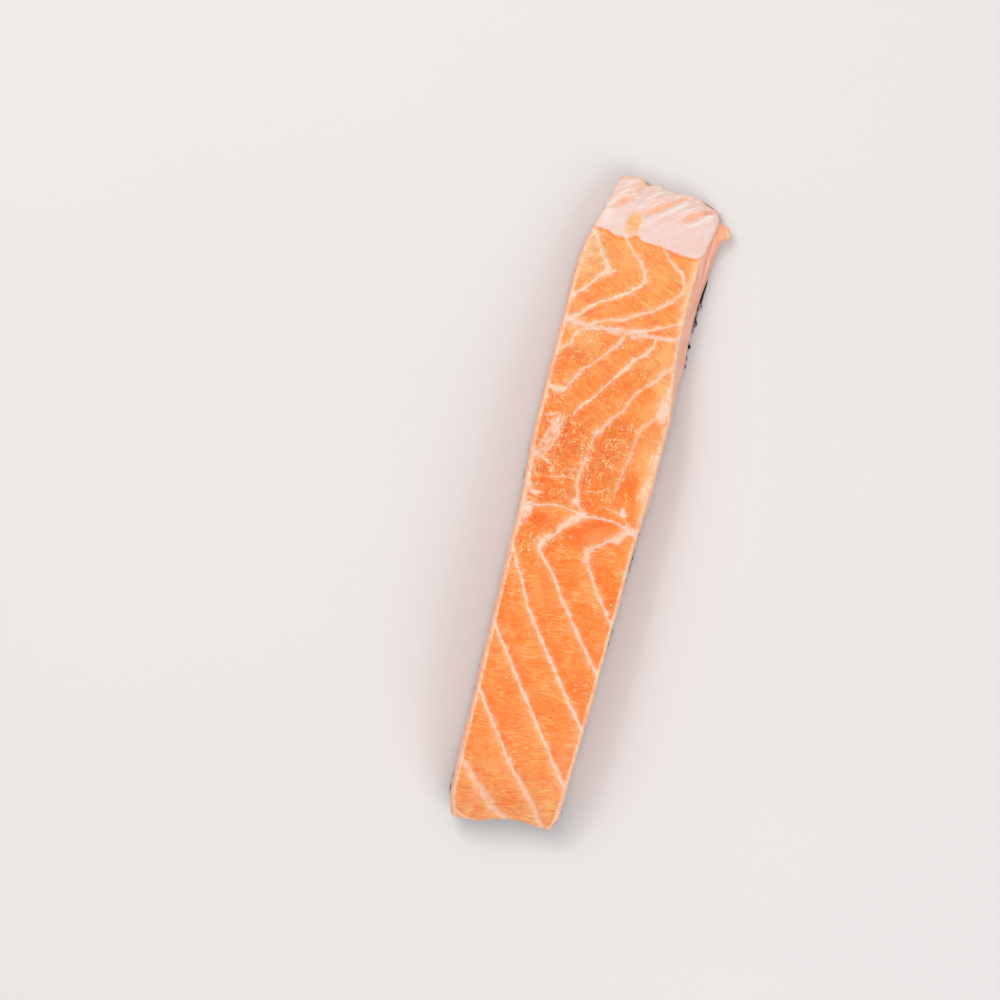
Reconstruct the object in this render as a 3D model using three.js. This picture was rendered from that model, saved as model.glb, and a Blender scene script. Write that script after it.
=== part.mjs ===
// Skin-on salmon fillet: one raw portion cut right across a side of salmon, from the thin belly
// edge (+Y) to the back (-Y), lying on its skin. Millimetres, +Z up, +X to the right of the cut.
// Two layers: the flesh, and the skin that runs under it and turns up round the back.
import * as THREE from "three";
import { mergeVertices } from "three/addons/utils/BufferGeometryUtils.js";

// Driving sizes. y runs from the back tip to the belly tip.
const BACK_TIP = -96.2;
const BELLY_TIP = 96.2;
const SKIN_THICKNESS = 0.9;
const LAYER_GAP = 0.3;
const EDGE_ROUND = 1.3;
const CROWN = 0.7;
const TILT_TO_RIGHT = 0.5;
const UNEVENNESS = 0.25;
const FLANK_SWELL = 0.35;

// Edges of the upper face, across the portion: [y, x].
const LEFT_EDGE = [[-96, -14.8], [-89, -16.5], [-60, -17.2], [-20, -18.1], [0, -18.6], [12, -19.5],
  [25, -19.9], [52, -19.8], [60, -20.0], [68, -19.9], [75, -19.1], [80, -17.9], [85, -16.4],
  [90, -15.1], [96, -14.1]];
const RIGHT_EDGE = [[-96, 15.2], [-60, 16.1], [-15, 16.8], [0, 17.0], [10, 17.6], [27, 17.7],
  [34, 17.2], [40, 16.3], [46, 15.4], [54, 14.9], [72, 14.8], [80, 15.4], [86, 16.3], [90, 17.0],
  [96, 17.2]];

// How much further out each flank stands at the skin than at the upper face: [y, mm].
const LEFT_SLANT = [[-96, 0.6], [-70, 0.6], [0, 0.4], [96, 0.3]];
const RIGHT_SLANT = [[-96, 0.4], [-20, 0.4], [0, 0.7], [24, 0.8], [38, 1.4], [46, 2.9], [54, 2.8],
  [65, 2.9], [75, 3.5], [84, 3.2], [91, 1.0], [96, 0.6]];

// How far the skin's cut edge stands out past the flesh: [y, mm].
const LEFT_MARGIN = [[-96, 0.3], [-60, 0.1], [96, 0]];
const RIGHT_MARGIN = [[-96, 0.3], [-30, 0.3], [0, 0.4], [20, 0.2], [50, 0.25], [60, 0.6], [67, 0.6],
  [74, 0.15], [96, 0.2]];
const MARGIN_WAVE = 0.15;

// Height of the upper face above the floor, and of the skin's underside: [y, z].
const UPPER_FACE = [[-96.2, 8.5], [-92, 12.5], [-86, 16.3], [-76, 20.2], [-62, 22.8], [-45, 23.8],
  [-25, 23.4], [-4, 22.0], [10, 20.8], [30, 18.4], [51, 15.6], [66, 13.0], [78, 10.9], [86, 9.6],
  [92, 7.6], [96.2, 4.6]];
const UNDERSIDE = [[-96.2, 5.4], [-92, 3.4], [-86, 1.5], [-79, 0.3], [-72, 0], [96.2, 0]];

// Rounded corners in plan: how far in the corner starts across, and along.
const CORNERS = {
  bellyLeft: { across: 3, along: 3.5 },
  bellyRight: { across: 3.5, along: 4 },
  backLeft: { across: 2, along: 3 },
  backRight: { across: 3, along: 5 },
};

// The two ends aren't square: [place across from -1 to 1, mm added along y], fading over END_FADE.
const BELLY_END_LINE = [[-1, 0.1], [-0.88, 0.3], [-0.77, 0.5], [-0.68, 0.4], [-0.6, -0.5],
  [-0.53, -1.2], [-0.46, -1.0], [-0.36, -0.4], [-0.24, -0.3], [-0.11, -0.9], [0.02, -0.95],
  [0.12, -1.3], [0.22, -1.3], [0.34, -0.9], [0.44, -0.7], [0.55, -1.0], [0.64, -1.0], [0.74, -1.5],
  [0.84, -2.4], [0.93, -2.6], [1, -3.0]];
const BACK_END_LINE = [[-1, -1.0], [-0.75, -0.7], [-0.5, -0.3], [-0.3, 0.9], [-0.05, 1.6], [0.2, 2.3],
  [0.5, 2.5], [1, 2.0]];
const END_FADE = 22;

// A tag of flesh that stands out of the right flank, just under the lining at the belly end: [y, mm].
const TAG = [[80, 0.1], [82.5, 0.4], [84, 0.7], [85.7, 1.3], [87.2, 2.0], [88.2, 3.5], [89.2, 3.8],
  [90.2, 3.6], [91.4, 3.0], [92, 2.8], [92.5, 0.9], [93.2, 0.2], [94, 0]];

// The muscle blocks. Two seams part the portion in three, and each zone has its own run of septa.
const MUSCLE_MIDDLE = 1.2;
const BELLY_SEAM = { y: 51.4, slope: 0.04, bow: 0 };
const BACK_SEAM = { y: -2.2, slope: 0, bow: -0.007 };

// Where the septa point along x in the outer zones, with a blunt point. From there, they run back
// by spread septa for each millimetre of y, and bend by so many more for each square millimetre.
const ARC_BLUNTNESS = 1.8;
const BELLY_ARCS = { apexY: 67.6, atApex: -0.03, spread: 0.065, bellyBend: 0.0015, backBend: 0.0039 };
const BACK_ARCS = { apexY: -14.4, atApex: 4.92, spread: -0.067, bellyBend: 0, backBend: 0.00013 };
const MIDDLE_SWEEP = [[-2.5, 4.1], [1.4, 4.36], [9.4, 4.44], [19.6, 4.32], [30.3, 3.75], [42, 2.92],
  [47.4, 2.4], [51.4, 2.3]];
const BLOCK_PITCH = [[-92, 15.6], [-60, 14], [-24, 12.6], [-13, 13.2], [-5, 15.2], [2, 11.5],
  [20, 11], [32, 9.5], [45, 9.9], [60, 11.6], [96, 11]];
const SEPTUM_GROOVE = { depth: 0.3, halfWidth: 1.5 };
const SEAM_GROOVE = { depth: 0.45, halfWidth: 1.5 };

// The pale lining that is left on the belly end, with the hole in it and its folds.
const LINING_EDGE = 78.3;
const LINING_THICKNESS = 0.45;
const LINING_HOLE = { x: -6.9, y: 83, halfAcross: 2.2, halfAlong: 3.35 };
const FOLD_ANGLE = THREE.MathUtils.degToRad(36.5);
const FOLDS = [
  { x: -9.8, y: 89.7, halfLength: 5.2, halfWidth: 1.0, depth: 0.7 },
  { x: 1.8, y: 91.2, halfLength: 8.0, halfWidth: 1.0, depth: 0.8 },
  { x: 10.2, y: 89.8, halfLength: 6.5, halfWidth: 1.25, depth: 0.9 },
  { x: -2.0, y: 93.4, halfLength: 5.0, halfWidth: 0.9, depth: 0.5 },
];

// How finely each surface is faceted.
const FLESH_STATIONS = 98;
const SKIN_STATIONS = 44;
const FACE_COLUMNS = 24;
const ROUND_STEPS = 2;
const FLANK_ROWS = 5;
const BASE_COLUMNS = 5;
const SKIN_COLUMNS = 9;
const END_CROWDING = 0.62;
const CAP_RINGS = 3;

const FLESH_MATERIAL = new THREE.MeshStandardMaterial({ color: 0xfa9a58, roughness: 0.35, metalness: 0 });
const SKIN_MATERIAL = new THREE.MeshStandardMaterial({ color: 0x4a4d50, roughness: 0.3, metalness: 0.2 });

const { clamp, lerp, smoothstep } = THREE.MathUtils;

// A smooth curve through [place, value] pairs, level beyond its ends.
function profile(pairs) {
  const last = pairs.length - 1;
  const slope = (i) => {
    const a = pairs[Math.max(i - 1, 0)];
    const b = pairs[Math.min(i + 1, last)];
    return (b[1] - a[1]) / (b[0] - a[0]);
  };
  return (place) => {
    const at = clamp(place, pairs[0][0], pairs[last][0]);
    const i = Math.min(pairs.findLastIndex((pair) => pair[0] <= at), last - 1);
    const span = pairs[i + 1][0] - pairs[i][0];
    const t = (at - pairs[i][0]) / span;
    const ease = t * t * (3 - 2 * t);
    const bend = t * (1 - t) * (1 - t) * slope(i) - t * t * (1 - t) * slope(i + 1);
    return lerp(pairs[i][1], pairs[i + 1][1], ease) + span * bend;
  };
}

const leftEdge = profile(LEFT_EDGE);
const rightEdge = profile(RIGHT_EDGE);
const leftSlant = profile(LEFT_SLANT);
const rightSlant = profile(RIGHT_SLANT);
const leftMargin = profile(LEFT_MARGIN);
const rightMargin = profile(RIGHT_MARGIN);
const upperFace = profile(UPPER_FACE);
const skinLift = profile(UNDERSIDE);
const underside = (y) => Math.max(skinLift(y), 0);
const bellyEndLine = profile(BELLY_END_LINE);
const backEndLine = profile(BACK_END_LINE);
const tagReach = profile(TAG);
const middleSweep = profile(MIDDLE_SWEEP);
const blockPitch = profile(BLOCK_PITCH);

// A bump of height 1 that dies away over halfWidth.
const bump = (distance, halfWidth) => Math.exp(-((distance / halfWidth) ** 2));

// Slow unevenness of soft flesh, between about -1 and 1.
function uneven(a, b) {
  const broad = Math.sin(a * 0.21 + 1.7 * Math.sin(b * 0.13));
  const fine = Math.sin(b * 0.33 + a * 0.08);
  return 0.6 * broad + 0.4 * fine;
}

// How far the plan outline is drawn in at a corner, at this distance from the end.
function cornerInset(distance, corner) {
  const inside = clamp(1 - distance / corner.along, 0, 1);
  return corner.across * (1 - Math.sqrt(1 - inside * inside));
}

// Left and right limits of the upper face at y.
function faceLimits(y) {
  const toBelly = BELLY_TIP - y;
  const toBack = y - BACK_TIP;
  const leftInset = cornerInset(toBelly, CORNERS.bellyLeft) + cornerInset(toBack, CORNERS.backLeft);
  const rightInset = cornerInset(toBelly, CORNERS.bellyRight) + cornerInset(toBack, CORNERS.backRight);
  return [leftEdge(y) + leftInset, rightEdge(y) - rightInset];
}

// How far y moves at this place across, so that the ends follow their own lines.
function endShift(y, across) {
  const atBelly = bellyEndLine(across) * smoothstep(y, BELLY_TIP - END_FADE, BELLY_TIP);
  const atBack = backEndLine(across) * (1 - smoothstep(y, BACK_TIP, BACK_TIP + END_FADE));
  return atBelly + atBack;
}

// Distance along y from a seam, which runs across the portion.
const fromSeam = (seam, x, y) => y - seam.y - seam.slope * x - seam.bow * x * x;

// Septa passed along the middle line at y, in a zone where they form nested arcs.
function arcCount(arcs, y) {
  const from = y - arcs.apexY;
  const blunted = Math.hypot(from, ARC_BLUNTNESS) - 0.4 * ARC_BLUNTNESS;
  const bend = from > 0 ? arcs.bellyBend : arcs.backBend;
  return arcs.atApex + arcs.spread * blunted + bend * from * from;
}

// Number of septa passed at (x, y): each whole number is one septum.
function septumCount(x, y) {
  let atMiddle = middleSweep(y);
  if (fromSeam(BELLY_SEAM, x, y) > 0) atMiddle = arcCount(BELLY_ARCS, y);
  if (fromSeam(BACK_SEAM, x, y) <= 0) atMiddle = arcCount(BACK_ARCS, y);
  return atMiddle + (x - MUSCLE_MIDDLE) / blockPitch(y);
}

// Depth of the grooves along septa and seams.
function muscleGrooves(x, y) {
  const step = 0.2;
  const count = septumCount(x, y);
  const steepness = Math.hypot(
    (septumCount(x + step, y) - count) / step,
    (septumCount(x, y + step) - count) / step,
  );
  const toSeptum = Math.abs(count - Math.round(count)) / Math.min(steepness, 0.5);
  const seams = bump(fromSeam(BELLY_SEAM, x, y), SEAM_GROOVE.halfWidth)
    + bump(fromSeam(BACK_SEAM, x, y), SEAM_GROOVE.halfWidth);
  return SEPTUM_GROOVE.depth * bump(toSeptum, SEPTUM_GROOVE.halfWidth) + SEAM_GROOVE.depth * seams;
}

// Height that the lining adds: its thickness, less its hole and the valleys of its folds.
function liningRelief(x, y) {
  const present = smoothstep(y, LINING_EDGE - 0.8, LINING_EDGE + 0.8);
  const holeX = (x - LINING_HOLE.x) / LINING_HOLE.halfAcross;
  const holeY = (y - LINING_HOLE.y) / LINING_HOLE.halfAlong;
  const covered = smoothstep(Math.hypot(holeX, holeY), 0.6, 1.3);
  let valleys = 0;
  for (const fold of FOLDS) {
    const dx = x - fold.x;
    const dy = y - fold.y;
    const along = dx * Math.cos(FOLD_ANGLE) + dy * Math.sin(FOLD_ANGLE);
    const aside = dy * Math.cos(FOLD_ANGLE) - dx * Math.sin(FOLD_ANGLE);
    valleys += fold.depth * bump(along, fold.halfLength) * bump(aside, fold.halfWidth);
  }
  return present * (LINING_THICKNESS * covered - valleys);
}

// The portion's cross-section at one station, as a ring of points that starts at the top left.
function fleshRing(station) {
  const y = lerp(BACK_TIP, BELLY_TIP, station);
  const [left, right] = faceLimits(y);
  const base = underside(y) + SKIN_THICKNESS + LAYER_GAP;
  const top = upperFace(y);
  const round = Math.min(EDGE_ROUND, (top - base) * 0.3);
  const place = (x, z, across) => new THREE.Vector3(x, y + endShift(y, across), z);
  const faceHeight = (across) => top - CROWN * across ** 4 - TILT_TO_RIGHT * across;
  const ring = [];

  const facePoint = (across) => {
    const x = lerp(left + round, right - round, (across + 1) / 2);
    const shifted = y + endShift(y, across);
    const lined = smoothstep(shifted, LINING_EDGE - 1, LINING_EDGE + 1);
    const relief = liningRelief(x, shifted) - (1 - lined) * muscleGrooves(x, shifted);
    const edgeFade = 1 - across ** 8;
    return place(x, faceHeight(across) + relief * edgeFade + UNEVENNESS * uneven(x, y), across);
  };

  // One flank from the rounded edge down to the base, side -1 for left and 1 for right.
  const flank = (side) => {
    const edge = side < 0 ? left : right;
    const slant = side < 0 ? leftSlant(y) : rightSlant(y);
    const edgeTop = faceHeight(side) + UNEVENNESS * uneven(edge, y) - round;
    const points = [];
    for (let step = 1; step < ROUND_STEPS + 1; step += 1) {
      const turn = (step / (ROUND_STEPS + 1)) * (Math.PI / 2);
      const x = edge - side * round * (1 - Math.sin(turn));
      points.push(place(x, edgeTop + round * Math.cos(turn), side));
    }
    for (let row = 0; row <= FLANK_ROWS; row += 1) {
      const down = row / FLANK_ROWS;
      const halfway = Math.sin(Math.PI * down);
      const swell = FLANK_SWELL * halfway * uneven(y, 9 * down * side);
      const tag = side > 0 ? tagReach(y) * halfway : 0;
      points.push(place(edge + side * (slant * down + swell + tag), lerp(edgeTop, base, down), side));
    }
    return points;
  };

  for (let column = 0; column <= FACE_COLUMNS; column += 1) {
    ring.push(facePoint(lerp(-1, 1, column / FACE_COLUMNS)));
  }
  const rightFlank = flank(1);
  const leftFlank = flank(-1);
  ring.push(...rightFlank);
  const baseRight = rightFlank.at(-1);
  const baseLeft = leftFlank.at(-1);
  for (let column = 1; column < BASE_COLUMNS; column += 1) {
    const across = lerp(1, -1, column / BASE_COLUMNS);
    ring.push(place(lerp(baseLeft.x, baseRight.x, (across + 1) / 2), base, across));
  }
  ring.push(...leftFlank.reverse());
  return ring;
}

// The skin's cross-section at one station: its underside, then its upper side back again.
function skinRing(station) {
  const y = lerp(BACK_TIP, BELLY_TIP, station);
  const [left, right] = faceLimits(y);
  const low = left - leftSlant(y) - leftMargin(y) - MARGIN_WAVE * uneven(y, 2);
  const high = right + rightSlant(y) + rightMargin(y) + MARGIN_WAVE * uneven(y, 11);
  const under = [];
  const upper = [];
  for (let column = 0; column <= SKIN_COLUMNS; column += 1) {
    const across = lerp(-1, 1, column / SKIN_COLUMNS);
    const x = lerp(low, high, column / SKIN_COLUMNS);
    const along = y + endShift(y, across);
    under.push(new THREE.Vector3(x, along, underside(y)));
    upper.push(new THREE.Vector3(x, along, underside(y) + SKIN_THICKNESS));
  }
  return [...upper, ...under.reverse()];
}

// Stations from 0 to 1, closer together at both ends.
function stations(count) {
  return Array.from({ length: count + 1 }, (_, i) => {
    const t = i / count;
    return t - (END_CROWDING * Math.sin(2 * Math.PI * t)) / (2 * Math.PI);
  });
}

// Rings that close one end: they shrink towards its middle, and keep to the end's own line.
function capRings(ring) {
  const box = new THREE.Box3().setFromPoints(ring);
  const middle = box.getCenter(new THREE.Vector3());
  const upper = ring.slice(0, FACE_COLUMNS + 1);
  const lineAt = (x) => {
    const next = Math.max(upper.findIndex((point) => point.x >= x), 1);
    const [a, b] = [upper[next - 1], upper[next]];
    return lerp(a.y, b.y, clamp((x - a.x) / (b.x - a.x), 0, 1));
  };
  return Array.from({ length: CAP_RINGS }, (_, i) => {
    const share = 1 - (i + 1) / (CAP_RINGS + 1);
    return ring.map((point) => {
      const x = lerp(middle.x, point.x, share);
      return new THREE.Vector3(x, lineAt(x), lerp(middle.z, point.z, share));
    });
  });
}

// A closed body through rings of equal size, with a fan at each end.
function loft(rings) {
  const size = rings[0].length;
  const points = rings.flat();
  const indices = [];
  for (let i = 0; i < rings.length - 1; i += 1) {
    for (let j = 0; j < size; j += 1) {
      const a = i * size + j;
      const b = i * size + ((j + 1) % size);
      indices.push(a, b, a + size, b, b + size, a + size);
    }
  }
  for (const [first, turned] of [[0, false], [(rings.length - 1) * size, true]]) {
    const middle = points.length;
    const centre = new THREE.Vector3();
    for (let j = 0; j < size; j += 1) centre.addScaledVector(points[first + j], 1 / size);
    points.push(centre);
    for (let j = 0; j < size; j += 1) {
      const a = first + j;
      const b = first + ((j + 1) % size);
      indices.push(...(turned ? [middle, a, b] : [middle, b, a]));
    }
  }
  const geometry = new THREE.BufferGeometry().setFromPoints(points);
  geometry.setIndex(indices);
  return mergeVertices(geometry, 1e-4);
}

function makeFlesh() {
  const rings = stations(FLESH_STATIONS).map(fleshRing);
  const closed = [...capRings(rings[0]).reverse(), ...rings, ...capRings(rings.at(-1))];
  const flesh = new THREE.Mesh(loft(closed), FLESH_MATERIAL);
  flesh.name = "flesh";
  return flesh;
}

function makeSkin() {
  const skin = new THREE.Mesh(loft(stations(SKIN_STATIONS).map(skinRing)), SKIN_MATERIAL);
  skin.name = "skin";
  return skin;
}

// The finished portion, with the middle of its footprint at the origin.
function makeFillet() {
  const fillet = new THREE.Group();
  fillet.add(makeFlesh(), makeSkin());
  const middle = new THREE.Box3().setFromObject(fillet).getCenter(new THREE.Vector3());
  fillet.children.forEach((layer) => layer.geometry.translate(-middle.x, -middle.y, 0));
  return fillet;
}

export default makeFillet();
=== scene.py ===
"""Skin-on salmon fillet: one raw portion on its skin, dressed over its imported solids.

The portion lies along Y with its thin belly end towards +Y and its upper cut face up. The shape's
fields are in millimetres, in the portion's own x, y and z, and meshes go to Blender in metres.
"""

import logging
import math
from dataclasses import dataclass, field
from enum import Enum
from functools import cached_property

import bpy
import numpy as np
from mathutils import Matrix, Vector


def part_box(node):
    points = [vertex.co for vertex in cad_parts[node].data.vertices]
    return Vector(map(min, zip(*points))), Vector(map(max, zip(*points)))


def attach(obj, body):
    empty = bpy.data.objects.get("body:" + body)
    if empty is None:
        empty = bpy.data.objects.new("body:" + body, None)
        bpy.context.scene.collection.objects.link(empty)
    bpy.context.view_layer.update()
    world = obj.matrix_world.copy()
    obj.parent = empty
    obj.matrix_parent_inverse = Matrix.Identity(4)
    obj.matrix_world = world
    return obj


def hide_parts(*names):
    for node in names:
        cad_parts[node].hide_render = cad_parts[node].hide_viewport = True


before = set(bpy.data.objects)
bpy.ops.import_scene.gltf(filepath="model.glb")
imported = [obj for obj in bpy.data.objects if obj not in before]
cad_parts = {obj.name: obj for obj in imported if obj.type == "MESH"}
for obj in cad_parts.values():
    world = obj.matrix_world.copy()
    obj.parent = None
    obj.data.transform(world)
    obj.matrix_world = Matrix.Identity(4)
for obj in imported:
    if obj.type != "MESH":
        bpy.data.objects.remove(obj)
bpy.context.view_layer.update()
BODY = "root"
MM = 0.001
HALF_LENGTH = 97.2
LOG = logging.getLogger("salmon_fillet")

Array = np.ndarray
Pairs = tuple[tuple[float, float], ...]
Colour = tuple[float, float, float]
Stops = tuple[tuple[float, Colour], ...]
Socket = bpy.types.NodeSocket


class Trait(Enum):
    """What each point of a mesh tells its finish, as a named mesh attribute."""

    SEPTUM_COUNT = "septum_count"
    SEPTUM_OFFSET = "septum_offset"
    SEPTUM_WIDTH = "septum_width"
    SEPTUM_STRENGTH = "septum_strength"
    SEAM_OFFSET = "seam_offset"
    SEAM_WIDTH = "seam_width"
    FIBRE = "fibre"
    COARSE = "coarse"
    TONE = "tone"
    PALE_PATCH = "pale_patch"
    RIM = "rim"
    CUT_SIDE = "cut_side"
    ABOVE_SKIN = "above_skin"
    LINING = "lining"
    FOLD = "fold"
    RIDGE = "ridge"
    TINT = "tint"
    STAIN = "stain"
    SCALE_EDGE = "scale_edge"
    SCALE_TONE = "scale_tone"
    SKIN_EDGE = "skin_edge"


class Part(Enum):
    """The stretches of a cross-section's ring, in order."""

    FACE = 0
    RIGHT = 1
    BASE = 2
    LEFT = 3


def smoothstep(value: Array, low: float, high: float) -> Array:
    """Ease from 0 at low to 1 at high."""
    t = np.clip((value - low) / (high - low), 0, 1)
    return t * t * (3 - 2 * t)


def bump(distance: Array, half_width: float) -> Array:
    """Return a hump of height 1 that dies away over half_width."""
    return np.exp(-((distance / half_width) ** 2))


def srgb(red: int, green: int, blue: int) -> Colour:
    """Return the linear colour for display values from 0 to 255."""
    shares = (red / 255, green / 255, blue / 255)
    return tuple(s / 12.92 if s <= 0.04045 else ((s + 0.055) / 1.055) ** 2.4 for s in shares)


@dataclass(frozen=True)
class Profile:
    """A smooth curve through (place, value) pairs, level beyond its ends."""

    pairs: Pairs

    def at(self, place: Array) -> Array:
        """Read the curve.

        Args:
            place: Places along it, in millimetres.

        Returns:
            One value for each place.
        """
        places, values = np.array(self.pairs, float).T
        last = len(places) - 1
        where = np.clip(place, places[0], places[-1])
        i = np.clip(np.searchsorted(places, where, side="right") - 1, 0, last - 1)
        before = np.maximum(np.arange(last + 1) - 1, 0)
        after = np.minimum(np.arange(last + 1) + 1, last)
        slopes = (values[after] - values[before]) / (places[after] - places[before])
        span = places[i + 1] - places[i]
        t = (where - places[i]) / span
        bend = t * (1 - t) ** 2 * slopes[i] - t * t * (1 - t) * slopes[i + 1]
        return values[i] + (values[i + 1] - values[i]) * t * t * (3 - 2 * t) + span * bend


@dataclass(frozen=True)
class Grain:
    """Seeded smooth noise over two coordinates."""

    seed: int
    cells: int = 128

    def at(self, u: Array, v: Array) -> Array:
        """Make smooth noise, with about one hump for each unit of u and v.

        Args:
            u: First coordinates.
            v: Second coordinates.

        Returns:
            Values between -1 and 1.
        """
        table = np.random.default_rng(self.seed).uniform(-1, 1, (self.cells, self.cells))
        column, row = np.floor(u).astype(int), np.floor(v).astype(int)
        s, t = u - column, v - row
        s, t = s * s * (3 - 2 * s), t * t * (3 - 2 * t)
        near = table[column % self.cells, row % self.cells]
        right = table[(column + 1) % self.cells, row % self.cells]
        above = table[column % self.cells, (row + 1) % self.cells]
        far = table[(column + 1) % self.cells, (row + 1) % self.cells]
        return near * (1 - s) * (1 - t) + right * s * (1 - t) + above * (1 - s) * t + far * s * t

    def rough(self, u: Array, v: Array, octaves: int = 3) -> Array:
        """Make noise with finer and finer detail.

        Args:
            u: First coordinates.
            v: Second coordinates.
            octaves: How many layers it has, each half as strong as the one before.

        Returns:
            Values between about -1 and 1.
        """
        total = np.zeros(np.broadcast(u, v).shape)
        for octave in range(octaves):
            turned_u = u * math.cos(octave) - v * math.sin(octave)
            turned_v = u * math.sin(octave) + v * math.cos(octave)
            total += self.at(turned_u * 2**octave + 17 * octave, turned_v * 2**octave) / 2**octave
        return total / 1.6


@dataclass(frozen=True)
class Patch:
    """A soft-edged oval on the upper face where something is stronger, weaker or shifted."""

    x: float
    y: float
    reach_x: float
    reach_y: float
    amount: float = 1.0
    turn: float = 0.0

    def at(self, x: Array, y: Array) -> Array:
        """Read the patch, which dies away over its reach.

        Args:
            x: Places across.
            y: Places along.

        Returns:
            Its amount at each place.
        """
        cosine, sine = math.cos(math.radians(self.turn)), math.sin(math.radians(self.turn))
        along = ((x - self.x) * cosine + (y - self.y) * sine) / self.reach_x
        aside = ((y - self.y) * cosine - (x - self.x) * sine) / self.reach_y
        return self.amount * np.exp(-(along**2) - aside**2)


def patches(*rows: tuple[float, ...]) -> tuple[Patch, ...]:
    """Return a patch for each row of x, y, reach_x, reach_y and, where it has them, amount and turn."""
    return tuple(Patch(*row) for row in rows)


def total(spots: tuple[Patch, ...], x: Array, y: Array) -> Array:
    """Return the sum of patches at each place."""
    return sum((spot.at(x, y) for spot in spots), np.zeros(np.broadcast(x, y).shape))


def lengthened(rows: dict, rings: int) -> dict:
    """Repeat the first and last row of each array, once for each ring that is added there."""
    extra = ((rings, rings), (0, 0))
    return {name: np.pad(values, extra, mode="edge") for name, values in rows.items()}


@dataclass(frozen=True)
class Septum:
    """A pale line on the upper face, through (x, y, half width) places."""

    places: tuple[tuple[float, float, float], ...]
    strength: float = 0.9
    reach: float = 3.0
    steps: int = 5

    def curve(self) -> Array:
        """Run a smooth curve through the line's own places.

        Returns:
            Rows of x, y and half width.
        """
        own = np.array(self.places)
        padded = np.concatenate([own[:1] * 2 - own[1:2], own, own[-1:] * 2 - own[-2:-1]])
        share = np.arange(self.steps)[:, None] / self.steps
        runs = []
        for a, b, c, d in zip(padded, padded[1:], padded[2:], padded[3:]):
            bend = (2 * a - 5 * b + 4 * c - d) * share**2 + (3 * b - a - 3 * c + d) * share**3
            runs.append(b + ((c - a) * share + bend) / 2)
        return np.concatenate([*runs, own[-1:]])

    def draw(self, x: Array, y: Array) -> tuple[Array, Array]:
        """Measure how far places are from the line.

        Args:
            x: Places across.
            y: Places along.

        Returns:
            The distance, below zero on one side, at most reach, and the half width there.
        """
        line = self.curve()
        low = line[:, :2].min(axis=0) - self.reach
        high = line[:, :2].max(axis=0) + self.reach
        near = (x > low[0]) & (x < high[0]) & (y > low[1]) & (y < high[1])
        px, py = x[near], y[near]
        best, side, wide = np.full(px.shape, self.reach), np.ones(px.shape), np.full(px.shape, 0.1)
        for (x0, y0, w0), (x1, y1, w1) in zip(line, line[1:]):
            run_x, run_y = x1 - x0, y1 - y0
            share = np.clip(((px - x0) * run_x + (py - y0) * run_y) / (run_x**2 + run_y**2), 0, 1)
            away = np.hypot(px - x0 - share * run_x, py - y0 - share * run_y)
            closer = away < best
            side = np.where(closer, np.sign(run_x * (py - y0) - run_y * (px - x0)), side)
            wide = np.where(closer, w0 + share * (w1 - w0), wide)
            best = np.minimum(best, away)
        offset, width = np.full(x.shape, self.reach), np.full(x.shape, 0.1)
        offset[near], width[near] = best * side, np.maximum(wide, 0.05)
        return offset, width


@dataclass(frozen=True)
class Corner:
    """A rounded corner of the outline, seen from above."""

    across: float
    along: float

    def inset(self, distance: Array) -> Array:
        """Return how far the edge is drawn in at this distance from the end."""
        inside = np.clip(1 - distance / self.along, 0, 1)
        return self.across * (1 - np.sqrt(1 - inside * inside))


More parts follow.
